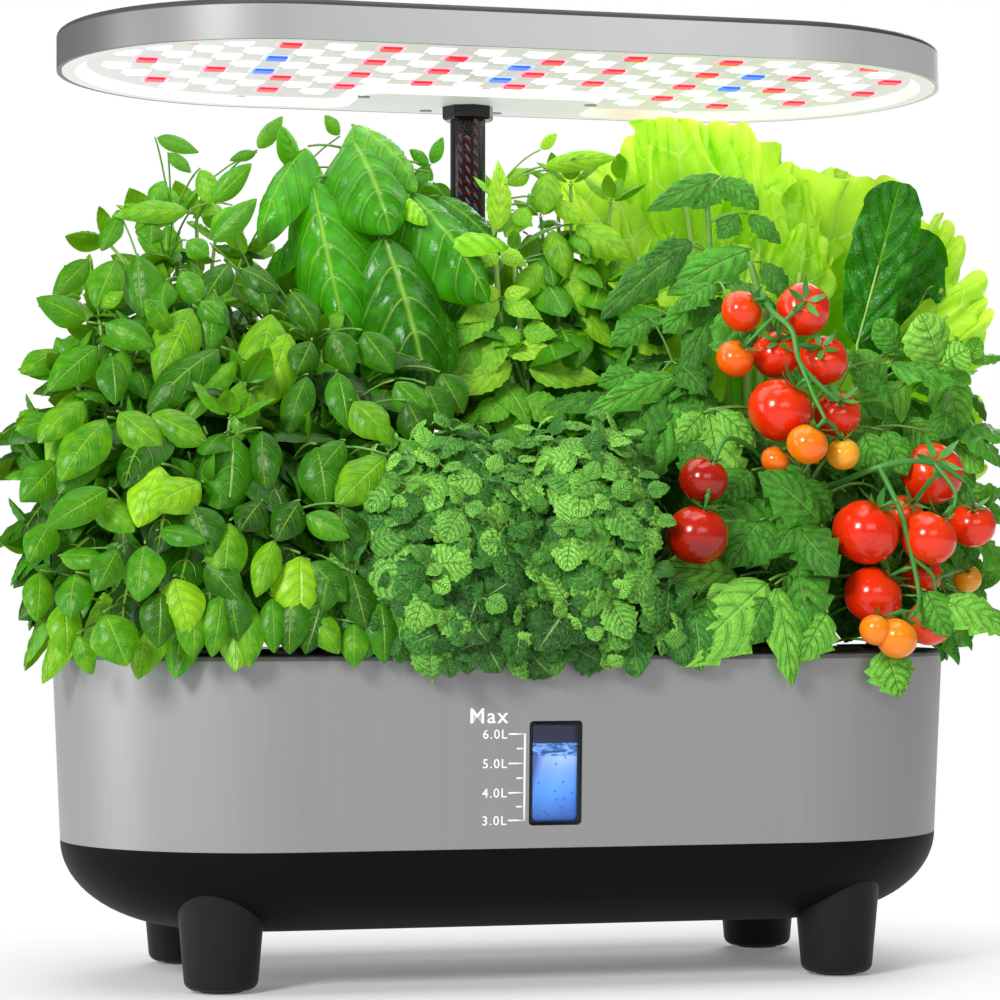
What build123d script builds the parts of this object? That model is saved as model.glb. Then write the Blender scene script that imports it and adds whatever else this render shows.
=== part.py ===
from build123d import *

import os
from math import atan, cos, degrees, radians

# Countertop hydroponic garden: a round-ended water tank on four legs, a planted deck
# that lifts off, and a grow lamp on a telescopic pole.  Millimetres, +Z up, front at -Y.
# The origin is on the ground, midway between the legs.

# ---------------------------------------------------------------- driving sizes
# plan of the tank: two straight sides between two round ends
STRAIGHT = 240.0
RIM_R = 100.0
SEAM_INSET = 3.6  # how far the side leans in from the rim to the seam
GROUND_CLEARANCE = 24.5
SEAM_Z = 66.0
RIM_Z = 152.5
BELLY_REACH = 62.0  # how far the belly's curve runs in from the seam
TANK_WALL = 2.4
SLEEVE_WALL = 1.2
SLEEVE_FIT = 0.2

# legs
LEG_X = 149.5
LEG_Y = 61.0
LEG_FOOT_R = 16.8
LEG_TOP_R = 21.6
LEG_EDGE_R = 4.5
LEG_LIFT = 1.0
LEG_INTO_BELLY = 30.0
PAD_R = 10.0
PAD_T = 3.0
SCREW_R = 2.0
SCREW_HEAD_R = 3.6
SCREW_HEAD_T = 2.4

# level window in the front wall
WINDOW_W = 25.0
WINDOW_H = 48.0
WINDOW_Z = 100.4
WINDOW_CORNER = 2.0
WINDOW_FIT = 0.1
WINDOW_POCKET = 1.4  # depth of the lens pocket in the tank wall
WINDOW_LEDGE = 2.0
LENS_T = 2.0
LENS_RECESS = 0.2

# deck
DECK_T = 3.0
DECK_EDGE = 1.8
LIP_DROP = 8.0
LIP_WALL = 1.8
LIP_FIT = 0.8
POD_END_GAP = 5.6  # between an end basket and the deck's lip
POD_ROW = 56.0
PORT_R = 18.0

# grow baskets
BASKET_R = 16.0
BASKET_TIP_R = 12.6
BASKET_L = 44.0
BASKET_WALL = 1.3
BASKET_FIT = 0.4
BASKET_FLANGE_R = 19.5
BASKET_FLANGE_T = 1.6
BASKET_SLOT_W = 5.0
BASKET_SLOT_L = 22.0
BASKET_SLOT_LIFT = 7.0
BASKET_EYE_R = 6.0
SPONGE_L = 32.0
SPONGE_FIT = 0.3

# filling port's flap
CAP_R = 21.0
CAP_T = 2.4
CAP_LIFT = 0.3
CAP_PLUG_FIT = 0.7
CAP_PLUG_WALL = 1.4
CAP_PLUG_DROP = 2.6
CAP_TAB_W = 12.0
CAP_TAB_L = 4.0
CAP_HINGE_Y = 25.0
CAP_HINGE_RISE = 3.4
KNUCKLE_R = 2.9
KNUCKLE_W = 10.0
KNUCKLE_GAP = 0.3
LUG_W = 3.0
HINGE_PIN_R = 1.2
HINGE_PIN_FIT = 0.06

# telescopic pole
POLE_Y = 80.0
POLE_R = 9.0
POLE_WALL = 1.3
POLE_SLEEVE_R = 10.6
POLE_SLIDE_FIT = 0.08
POLE_SLEEVE_TOP = 300.0
POLE_MOUTH = 0.8
POLE_FOOT_Z = 164.0
SOCKET_R = 12.6
SOCKET_H = 16.0
SOCKET_FIT = 0.2
COLLAR_ACROSS = 24.5
COLLAR_H = 7.0
COLLAR_FIT = 0.15
COLLAR_EDGE = 1.0
WIRE_R = 1.9
WIRE_HOLE_FIT = 0.4
WIRE_BEND = 2.15
WIRE_LOOP_TOP = 416.0
WIRE_LOOP_FOOT = 372.0
WIRE_START_Z = 172.0

# grow lamp
LAMP_STRAIGHT = 222.0
LAMP_R = 107.0
LAMP_Z = 432.0
LAMP_H = 18.5
LAMP_EDGE = 3.0
LAMP_WALL = 2.2
LAMP_TOP = 2.4
BEZEL_FIT = 0.3
BEZEL_W = 9.0
BEZEL_H = 4.0
BEZEL_SLOPE = 5.0
PLATE_W = 122.0  # the broad part of the bezel that the pole carries
PLATE_DEPTH = 64.0
PLATE_CORNER = 12.0
CLIP_SLOT_X = 115.0
CLIP_SLOT_W = 5.0
CLIP_SLOT_D = 4.4
BOARD_T = 1.6
BOARD_MARGIN = 3.0
LED_ROWS = 8
LED_ROW_PITCH = 19.2
LED_PITCH = 23.6
LED_W = 9.0
LED_D = 9.0
LED_T = 1.2
LED_EDGE_GAP = 0.2
PLATE_SCREW_INSET = 2.0
PLATE_SCREW_Y = 57.0
COLLAR_SCREW_X = 18.5
COLLAR_SCREW_Y = 96.0
LAMP_SCREW_HEAD_R = 3.0
LAMP_SCREW_R = 1.5
LAMP_SCREW_SINK = 0.6
LAMP_SCREW_L = 9.0
LAMP_BOSS_R = 3.6

# buttons and electronics in the lamp
BUTTON_R = 7.0
BUTTON_FIT = 0.3
BUTTON_PROUD = 1.2
BUTTON_EDGE_R = 0.6
BUTTON_FLANGE = 1.3
BUTTON_FLANGE_T = 1.0
BUTTON_FLANGE_GAP = 0.3
BUTTON_STEM_R = 2.0
BUTTON_STEM_L = 1.4
BUTTON_TRAVEL = 0.8  # what the switch leaves the stem to move
BUTTON_X = 17.0
BUTTON_Y = -62.0
SWITCH_SIDE = 6.0
SWITCH_T = 2.0
SWITCH_GAP = 0.2
CONTROL_W = 62.0
CONTROL_D = 26.0
CONTROL_T = 1.6
CONTROL_POST_R = 2.2
JACK_R = 5.0
JACK_FIT = 0.1
JACK_L = 11.0
JACK_BORE_R = 2.8
JACK_DEPTH = 9.0
JACK_FLANGE_R = 6.2
JACK_FLANGE_T = 1.0
JACK_PIN_R = 1.0

# pump that hangs under the deck
PUMP_W = 42.0
PUMP_D = 30.0
PUMP_H = 36.0
PUMP_FOOT_Z = 38.0
PUMP_Y = 46.0
PUMP_CORNER = 4.0
ROTOR_WELL_R = 9.0
ROTOR_WELL_L = 20.0
ROTOR_R = 5.0
ROTOR_L = 15.0
ROTOR_END_GAP = 0.5
VANE_R = 8.2
VANE_T = 1.4
VANE_H = 3.4
VANES = 6
ROTOR_SHAFT_R = 1.0
ROTOR_SHAFT_FIT = 0.06
SHAFT_SEAT = 2.0
PUMP_COVER_T = 3.0
INTAKE_R = 2.0
HANGER_R = 4.0
HANGER_X = 15.0
LEAD_R = 2.4
LEAD_HOLE_FIT = 0.3
LEAD_BEND_R = 7.2
LEAD_END = 4.0  # how far the lead shows inside the foot of the pole

# plants: each stands in its own share of the space over the deck
CANOPY_W = 500.0
CANOPY_D = 236.0
CANOPY_GAP = 0.6
CANOPY_FOOT = 6.0  # how far the leaves start above the deck
STEM_R = 5.0
STEM_LIFT = 0.4
SHAFT_KEEP = 52.0  # width left free over the filling port
POLE_KEEP = 28.0  # width left free round the pole

# ---------------------------------------------------------------- sizes that follow
PLATE_SCREW_X = PLATE_W / 2 - PLATE_SCREW_INSET
WALL_FACE = SLEEVE_WALL + SLEEVE_FIT
HALF_STRAIGHT = STRAIGHT / 2
SEAM_R = RIM_R - SEAM_INSET
WALL_RISE = RIM_Z - SEAM_Z
LEAN = degrees(atan(SEAM_INSET / WALL_RISE))
TANK_RIM_R = RIM_R - SLEEVE_WALL - SLEEVE_FIT
TANK_SEAM_R = SEAM_R - SLEEVE_WALL - SLEEVE_FIT
BELLY_DROP = SEAM_Z - GROUND_CLEARANCE
FLOOR_R = SEAM_R - BELLY_REACH
FLOOR_Z = GROUND_CLEARANCE + TANK_WALL

DECK_TOP = RIM_Z + DECK_T
LIP_R = TANK_RIM_R - TANK_WALL - LIP_FIT
POD_PITCH = (HALF_STRAIGHT + LIP_R - LIP_WALL - POD_END_GAP - BASKET_R) / 2
FLANGE_TOP = DECK_TOP + BASKET_FLANGE_T
BASKET_FOOT = DECK_TOP - BASKET_L

LAMP_HALF = LAMP_STRAIGHT / 2
LAMP_CEILING = LAMP_Z + LAMP_H - LAMP_TOP
BEZEL_TOP = LAMP_Z + BEZEL_H
BOARD_TOP = BEZEL_TOP + BOARD_T
OPENING_R = LAMP_R - BEZEL_W
PLATE_FRONT = LAMP_R - PLATE_DEPTH

WALL_PLANE = Plane(
    origin=(0, -SEAM_R, SEAM_Z),
    x_dir=(1, 0, 0),
    z_dir=(0, -cos(radians(LEAN)), -SEAM_INSET / WALL_RISE * cos(radians(LEAN))),
)
WINDOW_UP = (WINDOW_Z - SEAM_Z) / cos(radians(LEAN))

FRONT_PODS = [(POD_PITCH * n, -POD_ROW) for n in (-1.5, -0.5, 0.5, 1.5)]
MIDDLE_PODS = [(POD_PITCH * n, 0.0) for n in (-2, -1, 1, 2)]
REAR_PODS = [(POD_PITCH * n, POD_ROW) for n in (-1.5, -0.5, 0.5, 1.5)]
PODS = FRONT_PODS + MIDDLE_PODS + REAR_PODS


def save(body, name):
    """Labels a finished piece and writes it."""
    body.label = name
    export_step(body, f"parts/{name}.step")


def round_the_plan(section):
    """The solid that a half section, reach against height, makes round the tank's plan."""
    front = Plane(origin=(HALF_STRAIGHT, 0, 0), x_dir=(0, -1, 0), z_dir=(-1, 0, 0))
    with BuildPart() as body:
        with BuildSketch(front):
            add(section)
        extrude(amount=HALF_STRAIGHT)
        with BuildSketch(front):
            add(section)
        revolve(axis=Axis((HALF_STRAIGHT, 0, 0), (0, 0, 1)), revolution_arc=90)
        mirror(about=Plane.XZ)
        mirror(about=Plane.YZ)
    return body.part


def window_block(margin, start, depth):
    """A window-shaped block sunk into the front wall; start and depth are from its face."""
    with BuildPart() as block:
        with BuildSketch(WALL_PLANE.offset(-start)):
            with Locations((0, WINDOW_UP)):
                RectangleRounded(
                    WINDOW_W + 2 * margin, WINDOW_H + 2 * margin, WINDOW_CORNER
                )
        extrude(amount=-depth)
    return block.part


def belly(inset, floor_z):
    """Half section of the tank below the seam, inset from its outer face."""
    reach = BELLY_REACH - inset
    drop = SEAM_Z - floor_z
    with BuildSketch() as section:
        with BuildLine():
            Line((0, floor_z), (FLOOR_R, floor_z))
            EllipticalCenterArc((FLOOR_R, SEAM_Z), reach, drop, start_angle=270, arc_size=90)
            Line((FLOOR_R + reach, SEAM_Z), (0, SEAM_Z))
            Line((0, SEAM_Z), (0, floor_z))
        make_face()
    return section.sketch


os.makedirs("parts", exist_ok=True)

# ---------------------------------------------------------------- water tank
belly_outer = belly(0, GROUND_CLEARANCE)
belly_inner = belly(WALL_FACE + TANK_WALL, FLOOR_Z)

with BuildSketch() as wall_section:
    with BuildLine():
        Polyline(
            (TANK_SEAM_R, SEAM_Z),
            (TANK_RIM_R, RIM_Z),
            (TANK_RIM_R - TANK_WALL, RIM_Z),
            (TANK_SEAM_R - TANK_WALL, SEAM_Z),
            close=True,
        )
    make_face()

with BuildPart() as water_tank:
    add(round_the_plan(belly_outer))
    add(round_the_plan(belly_inner), mode=Mode.SUBTRACT)
    add(round_the_plan(wall_section.sketch))
    add(window_block(WINDOW_FIT, SLEEVE_WALL, WINDOW_POCKET + SLEEVE_FIT), mode=Mode.SUBTRACT)
    add(window_block(-WINDOW_LEDGE, WALL_FACE, 2 * TANK_WALL), mode=Mode.SUBTRACT)
save(water_tank.part, "water_tank")

# ---------------------------------------------------------------- grey sleeve
with BuildSketch() as sleeve_section:
    with BuildLine():
        Polyline(
            (SEAM_R, SEAM_Z),
            (RIM_R, RIM_Z),
            (RIM_R - SLEEVE_WALL, RIM_Z),
            (SEAM_R - SLEEVE_WALL, SEAM_Z),
            close=True,
        )
    make_face()

with BuildPart() as tank_sleeve:
    add(round_the_plan(sleeve_section.sketch))
    add(window_block(WINDOW_FIT, -SLEEVE_WALL, 3 * SLEEVE_WALL), mode=Mode.SUBTRACT)
save(tank_sleeve.part, "tank_sleeve")

# ---------------------------------------------------------------- level window
with BuildPart() as window_lens:
    add(window_block(0, LENS_RECESS, LENS_T))
save(window_lens.part, "window_lens")

GASKET_TOP = LENS_RECESS + LENS_T
GASKET_T = WALL_FACE + WINDOW_POCKET - GASKET_TOP
with BuildPart() as window_gasket:
    add(window_block(0, GASKET_TOP, GASKET_T))
    add(window_block(-WINDOW_LEDGE, GASKET_TOP, GASKET_T), mode=Mode.SUBTRACT)
save(window_gasket.part, "window_gasket")

# ---------------------------------------------------------------- legs, screws and pads
leg_solid_belly = round_the_plan(belly_outer)
PAD_SINK = PAD_T - LEG_LIFT
LEG_TOP_Z = LEG_LIFT + LEG_INTO_BELLY + GROUND_CLEARANCE
SCREW_HEAD_Z = PAD_T
LEG_NAMES = {
    "leg_front_left": (-LEG_X, -LEG_Y),
    "leg_front_right": (LEG_X, -LEG_Y),
    "leg_rear_left": (-LEG_X, LEG_Y),
    "leg_rear_right": (LEG_X, LEG_Y),
}
for leg_name, leg_place in LEG_NAMES.items():
    with BuildPart() as leg:
        with Locations((*leg_place, LEG_LIFT)):
            Cone(
                LEG_FOOT_R,
                LEG_TOP_R,
                LEG_TOP_Z - LEG_LIFT,
                align=(Align.CENTER, Align.CENTER, Align.MIN),
            )
        fillet(leg.edges().group_by(Axis.Z)[0], LEG_EDGE_R)
        add(leg_solid_belly, mode=Mode.SUBTRACT)
        with Locations((*leg_place, LEG_LIFT)):
            Cylinder(
                PAD_R,
                PAD_SINK,
                align=(Align.CENTER, Align.CENTER, Align.MIN),
                mode=Mode.SUBTRACT,
            )
        with Locations((*leg_place, SCREW_HEAD_Z)):
            Cylinder(
                SCREW_HEAD_R,
                SCREW_HEAD_T,
                align=(Align.CENTER, Align.CENTER, Align.MIN),
                mode=Mode.SUBTRACT,
            )
            Cylinder(
                SCREW_R,
                LEG_TOP_Z,
                align=(Align.CENTER, Align.CENTER, Align.MIN),
                mode=Mode.SUBTRACT,
            )
    save(leg.part, leg_name)

with BuildPart() as foot_pads:
    with Locations([(x, y, 0) for x, y in LEG_NAMES.values()]):
        Cylinder(PAD_R, PAD_T, align=(Align.CENTER, Align.CENTER, Align.MIN))
save(foot_pads.part, "foot_pads")

with BuildPart() as leg_screws:
    with Locations([(x, y, SCREW_HEAD_Z) for x, y in LEG_NAMES.values()]):
        Cylinder(SCREW_HEAD_R, SCREW_HEAD_T, align=(Align.CENTER, Align.CENTER, Align.MIN))
        Cylinder(SCREW_R, LEG_TOP_Z, align=(Align.CENTER, Align.CENTER, Align.MIN))
    add(leg_solid_belly, mode=Mode.SUBTRACT)
save(leg_screws.part, "leg_screws")

# ---------------------------------------------------------------- deck
HINGE_Z = DECK_TOP + CAP_HINGE_RISE
LUG_X = KNUCKLE_W / 2 + KNUCKLE_GAP + LUG_W / 2
LEAD_HOLE_R = LEAD_R + LEAD_HOLE_FIT

with BuildPart() as deck:
    with BuildSketch(Plane.XY.offset(RIM_Z)):
        SlotOverall(STRAIGHT + 2 * RIM_R, 2 * RIM_R)
    extrude(amount=DECK_T)
    fillet(deck.faces().sort_by(Axis.Z)[-1].edges(), DECK_EDGE)
    with BuildSketch(Plane.XY.offset(RIM_Z)):
        SlotOverall(STRAIGHT + 2 * LIP_R, 2 * LIP_R)
        SlotOverall(STRAIGHT + 2 * (LIP_R - LIP_WALL), 2 * (LIP_R - LIP_WALL), mode=Mode.SUBTRACT)
    extrude(amount=-LIP_DROP)
    with BuildSketch(Plane.XY.offset(RIM_Z)):
        with Locations(PODS):
            Circle(BASKET_R + BASKET_FIT)
        Circle(PORT_R)
        with Locations((0, POLE_Y)):
            Circle(LEAD_HOLE_R)
    extrude(amount=DECK_T, mode=Mode.SUBTRACT)
    with BuildSketch(Plane.XY.offset(DECK_TOP)):
        with Locations((0, POLE_Y)):
            Circle(SOCKET_R)
            Circle(POLE_SLEEVE_R + SOCKET_FIT, mode=Mode.SUBTRACT)
    extrude(amount=SOCKET_H)
    with BuildSketch(Plane.YZ.offset(-LUG_W / 2)) as lug:
        with Locations((CAP_HINGE_Y, HINGE_Z)):
            Circle(KNUCKLE_R)
        with Locations((CAP_HINGE_Y, (DECK_TOP + HINGE_Z) / 2)):
            Rectangle(2 * KNUCKLE_R, CAP_HINGE_RISE)
        with Locations((CAP_HINGE_Y, HINGE_Z)):
            Circle(HINGE_PIN_R, mode=Mode.SUBTRACT)
    lug_body = extrude(lug.sketch, amount=LUG_W, mode=Mode.PRIVATE)
    with Locations((-LUG_X, 0, 0), (LUG_X, 0, 0)):
        add(lug_body)
save(deck.part, "deck")

# ---------------------------------------------------------------- filling port's flap
CAP_BASE = DECK_TOP + CAP_LIFT
CAP_PLUG_R = PORT_R - CAP_PLUG_FIT
with BuildPart() as fill_cap:
    with BuildSketch(Plane.XY.offset(CAP_BASE)):
        Circle(CAP_R)
        with Locations((0, -CAP_R)):
            RectangleRounded(CAP_TAB_W, 2 * CAP_TAB_L, CAP_TAB_L / 2)
        with Locations((0, CAP_R - CAP_TAB_L / 2)):
            Rectangle(KNUCKLE_W, CAP_TAB_L + 2 * (CAP_HINGE_Y - KNUCKLE_R - CAP_R))
    extrude(amount=CAP_T)
    with BuildSketch(Plane.XY.offset(CAP_BASE)):
        Circle(CAP_PLUG_R)
        Circle(CAP_PLUG_R - CAP_PLUG_WALL, mode=Mode.SUBTRACT)
    extrude(amount=-CAP_PLUG_DROP)
    with BuildSketch(Plane.YZ.offset(-KNUCKLE_W / 2)) as knuckle:
        with Locations((CAP_HINGE_Y, HINGE_Z)):
            Circle(KNUCKLE_R)
        with Locations((CAP_HINGE_Y - KNUCKLE_R, CAP_BASE + CAP_T / 2)):
            Rectangle(2 * KNUCKLE_R, CAP_T)
    extrude(amount=KNUCKLE_W)
    with BuildSketch(Plane.YZ.offset(-KNUCKLE_W / 2)):
        with Locations((CAP_HINGE_Y, HINGE_Z)):
            Circle(HINGE_PIN_R + HINGE_PIN_FIT)
    extrude(amount=KNUCKLE_W, mode=Mode.SUBTRACT)
save(fill_cap.part, "fill_cap")

with BuildPart() as cap_pin:
    with BuildSketch(Plane.YZ.offset(-LUG_X - LUG_W / 2)):
        with Locations((CAP_HINGE_Y, HINGE_Z)):
            Circle(HINGE_PIN_R)
    extrude(amount=2 * LUG_X + LUG_W)
save(cap_pin.part, "fill_cap_pin")

# ---------------------------------------------------------------- grow baskets and sponges
basket_names = [f"basket_{row}_{n}" for row in ("front", "middle", "rear") for n in (1, 2, 3, 4)]


def basket_wall_r(z):
    """Outer radius of a basket's tapered cup at a height."""
    share = (z - BASKET_FOOT) / BASKET_L
    return BASKET_TIP_R + (BASKET_R - BASKET_TIP_R) * share


for basket_name, (pod_x, pod_y) in zip(basket_names, PODS):
    with BuildPart() as basket:
        with BuildSketch(Plane.XZ):
            with BuildLine():
                Polyline(
                    (BASKET_EYE_R, BASKET_FOOT),
                    (BASKET_TIP_R, BASKET_FOOT),
                    (BASKET_R, DECK_TOP),
                    (BASKET_FLANGE_R, DECK_TOP),
                    (BASKET_FLANGE_R, FLANGE_TOP),
                    (BASKET_R - BASKET_WALL, FLANGE_TOP),
                    (BASKET_TIP_R - BASKET_WALL, BASKET_FOOT + BASKET_WALL),
                    (BASKET_EYE_R, BASKET_FOOT + BASKET_WALL),
                    close=True,
                )
            make_face()
        revolve(axis=Axis.Z)
        with Locations((0, 0, BASKET_FOOT + BASKET_SLOT_LIFT)):
            for turn in (45, 135):
                Box(
                    4 * BASKET_R,
                    BASKET_SLOT_W,
                    BASKET_SLOT_L,
                    rotation=(0, 0, turn),
                    align=(Align.CENTER, Align.CENTER, Align.MIN),
                    mode=Mode.SUBTRACT,
                )
    save(basket.part.moved(Location((pod_x, pod_y, 0))), basket_name)

SPONGE_TOP = DECK_TOP
SPONGE_FOOT = SPONGE_TOP - SPONGE_L
with BuildPart() as grow_sponges:
    with Locations([(x, y, SPONGE_FOOT) for x, y in PODS]):
        Cone(
            basket_wall_r(SPONGE_FOOT) - BASKET_WALL - SPONGE_FIT,
            basket_wall_r(SPONGE_TOP) - BASKET_WALL - SPONGE_FIT,
            SPONGE_L,
            align=(Align.CENTER, Align.CENTER, Align.MIN),
        )
save(grow_sponges.part, "grow_sponges")

# ---------------------------------------------------------------- pole
with BuildPart() as pole_lower:
    with BuildSketch(Plane.XY.offset(DECK_TOP)):
        with Locations((0, POLE_Y)):
            Circle(POLE_SLEEVE_R)
            Circle(POLE_R + POLE_SLIDE_FIT, mode=Mode.SUBTRACT)
    extrude(amount=POLE_SLEEVE_TOP - DECK_TOP)
    chamfer(pole_lower.edges().group_by(Axis.Z)[-1].sort_by(SortBy.LENGTH)[-1], POLE_MOUTH)
save(pole_lower.part, "pole_lower")

with BuildPart() as pole_upper:
    with BuildSketch(Plane.XY.offset(POLE_FOOT_Z)):
        with Locations((0, POLE_Y)):
            Circle(POLE_R)
            Circle(POLE_R - POLE_WALL, mode=Mode.SUBTRACT)
    extrude(amount=LAMP_Z - POLE_FOOT_Z)
save(pole_upper.part, "pole_upper")

with BuildPart() as pole_collar:
    with BuildSketch(Plane.XY.offset(LAMP_Z - COLLAR_H)):
        with Locations((0, POLE_Y)):
            RegularPolygon(COLLAR_ACROSS / 2, 8, major_radius=False)
    extrude(amount=COLLAR_H)
    chamfer(pole_collar.faces().sort_by(Axis.Z)[0].edges(), COLLAR_EDGE)
    with BuildSketch(Plane.XY.offset(LAMP_Z - COLLAR_H)):
        with Locations((0, POLE_Y)):
            Circle(POLE_R + COLLAR_FIT)
    extrude(amount=COLLAR_H, mode=Mode.SUBTRACT)
save(pole_collar.part, "pole_collar")

# the lamp's lead goes up the pole, turns over, comes down and turns up again: its slack
WIRE_X = 2 * WIRE_BEND
with BuildPart() as lamp_wires:
    with BuildLine(Plane.XZ.offset(-POLE_Y)) as lead_path:
        rise = Line((-WIRE_X, WIRE_START_Z), (-WIRE_X, WIRE_LOOP_TOP))
        ThreePointArc(
            (-WIRE_X, WIRE_LOOP_TOP),
            (-WIRE_BEND, WIRE_LOOP_TOP + WIRE_BEND),
            (0, WIRE_LOOP_TOP),
        )
        Line((0, WIRE_LOOP_TOP), (0, WIRE_LOOP_FOOT))
        ThreePointArc(
            (0, WIRE_LOOP_FOOT),
            (WIRE_BEND, WIRE_LOOP_FOOT - WIRE_BEND),
            (WIRE_X, WIRE_LOOP_FOOT),
        )
        Line((WIRE_X, WIRE_LOOP_FOOT), (WIRE_X, BEZEL_TOP))
    with BuildSketch(Plane(origin=(-WIRE_X, POLE_Y, WIRE_START_Z), z_dir=(0, 0, 1))):
        Circle(WIRE_R)
    sweep()
save(lamp_wires.part, "lamp_wires")

# ---------------------------------------------------------------- lamp


def lamp_opening(inset, z):
    """The lit opening's outline: the lamp's plan less its bezel and the pole's plate."""
    reach = OPENING_R - inset
    with BuildSketch(Plane.XY.offset(z)) as outline:
        SlotOverall(LAMP_STRAIGHT + 2 * reach, 2 * reach)
        with Locations((0, PLATE_FRONT - inset)):
            Rectangle(
                PLATE_W + 2 * inset,
                LAMP_R,
                align=(Align.CENTER, Align.MIN),
                mode=Mode.SUBTRACT,
            )
        plate_corners = outline.vertices().filter_by(lambda v: abs(v.X) < LAMP_HALF - 1)
        by_depth = plate_corners.group_by(Axis.Y)
        fillet(by_depth[0], PLATE_CORNER + inset)
        outer_corners = outline.vertices().filter_by(
            lambda v: abs(v.X) < LAMP_HALF - 1 and v.Y > reach - 1e-3
        )
        fillet(outer_corners, PLATE_CORNER - inset)
    return outline.sketch


def lamp_screw_places():
    """The four screws that hold the pole's plate."""
    return [
        (-PLATE_SCREW_X, PLATE_SCREW_Y),
        (PLATE_SCREW_X, PLATE_SCREW_Y),
        (-COLLAR_SCREW_X, COLLAR_SCREW_Y),
        (COLLAR_SCREW_X, COLLAR_SCREW_Y),
    ]


CAVITY_R = LAMP_R - LAMP_WALL
BUTTON_STEM_FOOT = LAMP_CEILING - BUTTON_FLANGE_GAP - BUTTON_FLANGE_T - BUTTON_STEM_L
CONTROL_Z = BUTTON_STEM_FOOT - BUTTON_TRAVEL - SWITCH_GAP - SWITCH_T - CONTROL_T
BUTTON_PLACES = [(-BUTTON_X, BUTTON_Y), (BUTTON_X, BUTTON_Y)]
CONTROL_POSTS = [
    (x, BUTTON_Y + y)
    for x in (-CONTROL_W / 2 + 3 * CONTROL_POST_R, CONTROL_W / 2 - 3 * CONTROL_POST_R)
    for y in (-CONTROL_D / 2 + 2 * CONTROL_POST_R, CONTROL_D / 2 - 2 * CONTROL_POST_R)
]
JACK_Z = (BEZEL_TOP + LAMP_CEILING) / 2

with BuildPart() as lamp_housing:
    with BuildSketch(Plane.XY.offset(LAMP_Z)):
        SlotOverall(LAMP_STRAIGHT + 2 * LAMP_R, 2 * LAMP_R)
    extrude(amount=LAMP_H)
    fillet(lamp_housing.faces().sort_by(Axis.Z)[-1].edges(), LAMP_EDGE)
    with BuildSketch(Plane.XY.offset(LAMP_Z)):
        SlotOverall(LAMP_STRAIGHT + 2 * CAVITY_R, 2 * CAVITY_R)
    extrude(amount=LAMP_H - LAMP_TOP, mode=Mode.SUBTRACT)
    with BuildSketch(Plane.XY.offset(BEZEL_TOP)):
        with Locations(lamp_screw_places()):
            Circle(LAMP_BOSS_R)
            Circle(LAMP_SCREW_R, mode=Mode.SUBTRACT)
    extrude(amount=LAMP_CEILING - BEZEL_TOP)
    with BuildSketch(Plane.XY.offset(CONTROL_Z + CONTROL_T)):
        with Locations(CONTROL_POSTS):
            Circle(CONTROL_POST_R)
    extrude(amount=LAMP_CEILING - CONTROL_Z - CONTROL_T)
    with BuildSketch(Plane.XY.offset(LAMP_CEILING)):
        with Locations(BUTTON_PLACES):
            Circle(BUTTON_R + BUTTON_FIT)
    extrude(amount=LAMP_TOP, mode=Mode.SUBTRACT)
    with BuildSketch(Plane.XZ.offset(-LAMP_R - 1)):
        with Locations((0, JACK_Z)):
            Circle(JACK_R + JACK_FIT)
    extrude(amount=2 * LAMP_WALL, mode=Mode.SUBTRACT)
save(lamp_housing.part, "lamp_housing")

BEZEL_R = CAVITY_R - BEZEL_FIT
WIRE_HOLE_R = WIRE_R + WIRE_HOLE_FIT
with BuildPart() as lamp_bezel:
    with BuildSketch(Plane.XY.offset(LAMP_Z)):
        SlotOverall(LAMP_STRAIGHT + 2 * BEZEL_R, 2 * BEZEL_R)
    extrude(amount=BEZEL_H)
    with BuildSketch(Plane.XY.offset(LAMP_Z)):
        add(lamp_opening(0, LAMP_Z))
    extrude(amount=BEZEL_H, taper=degrees(atan(BEZEL_SLOPE / BEZEL_H)), mode=Mode.SUBTRACT)
    slot_z = LAMP_Z + BEZEL_H / 2
    throat_y = OPENING_R - BEZEL_SLOPE
    with Locations(
        (-CLIP_SLOT_X, throat_y, slot_z),
        (CLIP_SLOT_X, throat_y, slot_z),
        (0, PLATE_FRONT - BEZEL_SLOPE, slot_z),
    ):
        Box(
            CLIP_SLOT_W,
            2 * CLIP_SLOT_D,
            BEZEL_H / 2,
            align=(Align.CENTER, Align.CENTER, Align.MIN),
            mode=Mode.SUBTRACT,
        )
    throat_x = LAMP_HALF + throat_y
    with Locations((-throat_x, 0, slot_z), (throat_x, 0, slot_z)):
        Box(
            2 * CLIP_SLOT_D,
            CLIP_SLOT_W,
            BEZEL_H / 2,
            align=(Align.CENTER, Align.CENTER, Align.MIN),
            mode=Mode.SUBTRACT,
        )
    with Locations([(x, y, LAMP_Z) for x, y in lamp_screw_places()]):
        Cylinder(
            LAMP_SCREW_HEAD_R,
            BEZEL_H / 2,
            align=(Align.CENTER, Align.CENTER, Align.MIN),
            mode=Mode.SUBTRACT,
        )
        Cylinder(
            LAMP_SCREW_R,
            BEZEL_H,
            align=(Align.CENTER, Align.CENTER, Align.MIN),
            mode=Mode.SUBTRACT,
        )
    with Locations((WIRE_X, POLE_Y, LAMP_Z)):
        Cylinder(
            WIRE_HOLE_R,
            BEZEL_H,
            align=(Align.CENTER, Align.CENTER, Align.MIN),
            mode=Mode.SUBTRACT,
        )
save(lamp_bezel.part, "lamp_bezel")

with BuildPart() as lamp_screws:
    with Locations([(x, y, LAMP_Z + LAMP_SCREW_SINK) for x, y in lamp_screw_places()]):
        Cylinder(
            LAMP_SCREW_HEAD_R,
            BEZEL_H / 2 - LAMP_SCREW_SINK,
            align=(Align.CENTER, Align.CENTER, Align.MIN),
        )
        Cylinder(LAMP_SCREW_R, LAMP_SCREW_L, align=(Align.CENTER, Align.CENTER, Align.MIN))
save(lamp_screws.part, "lamp_screws")

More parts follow.
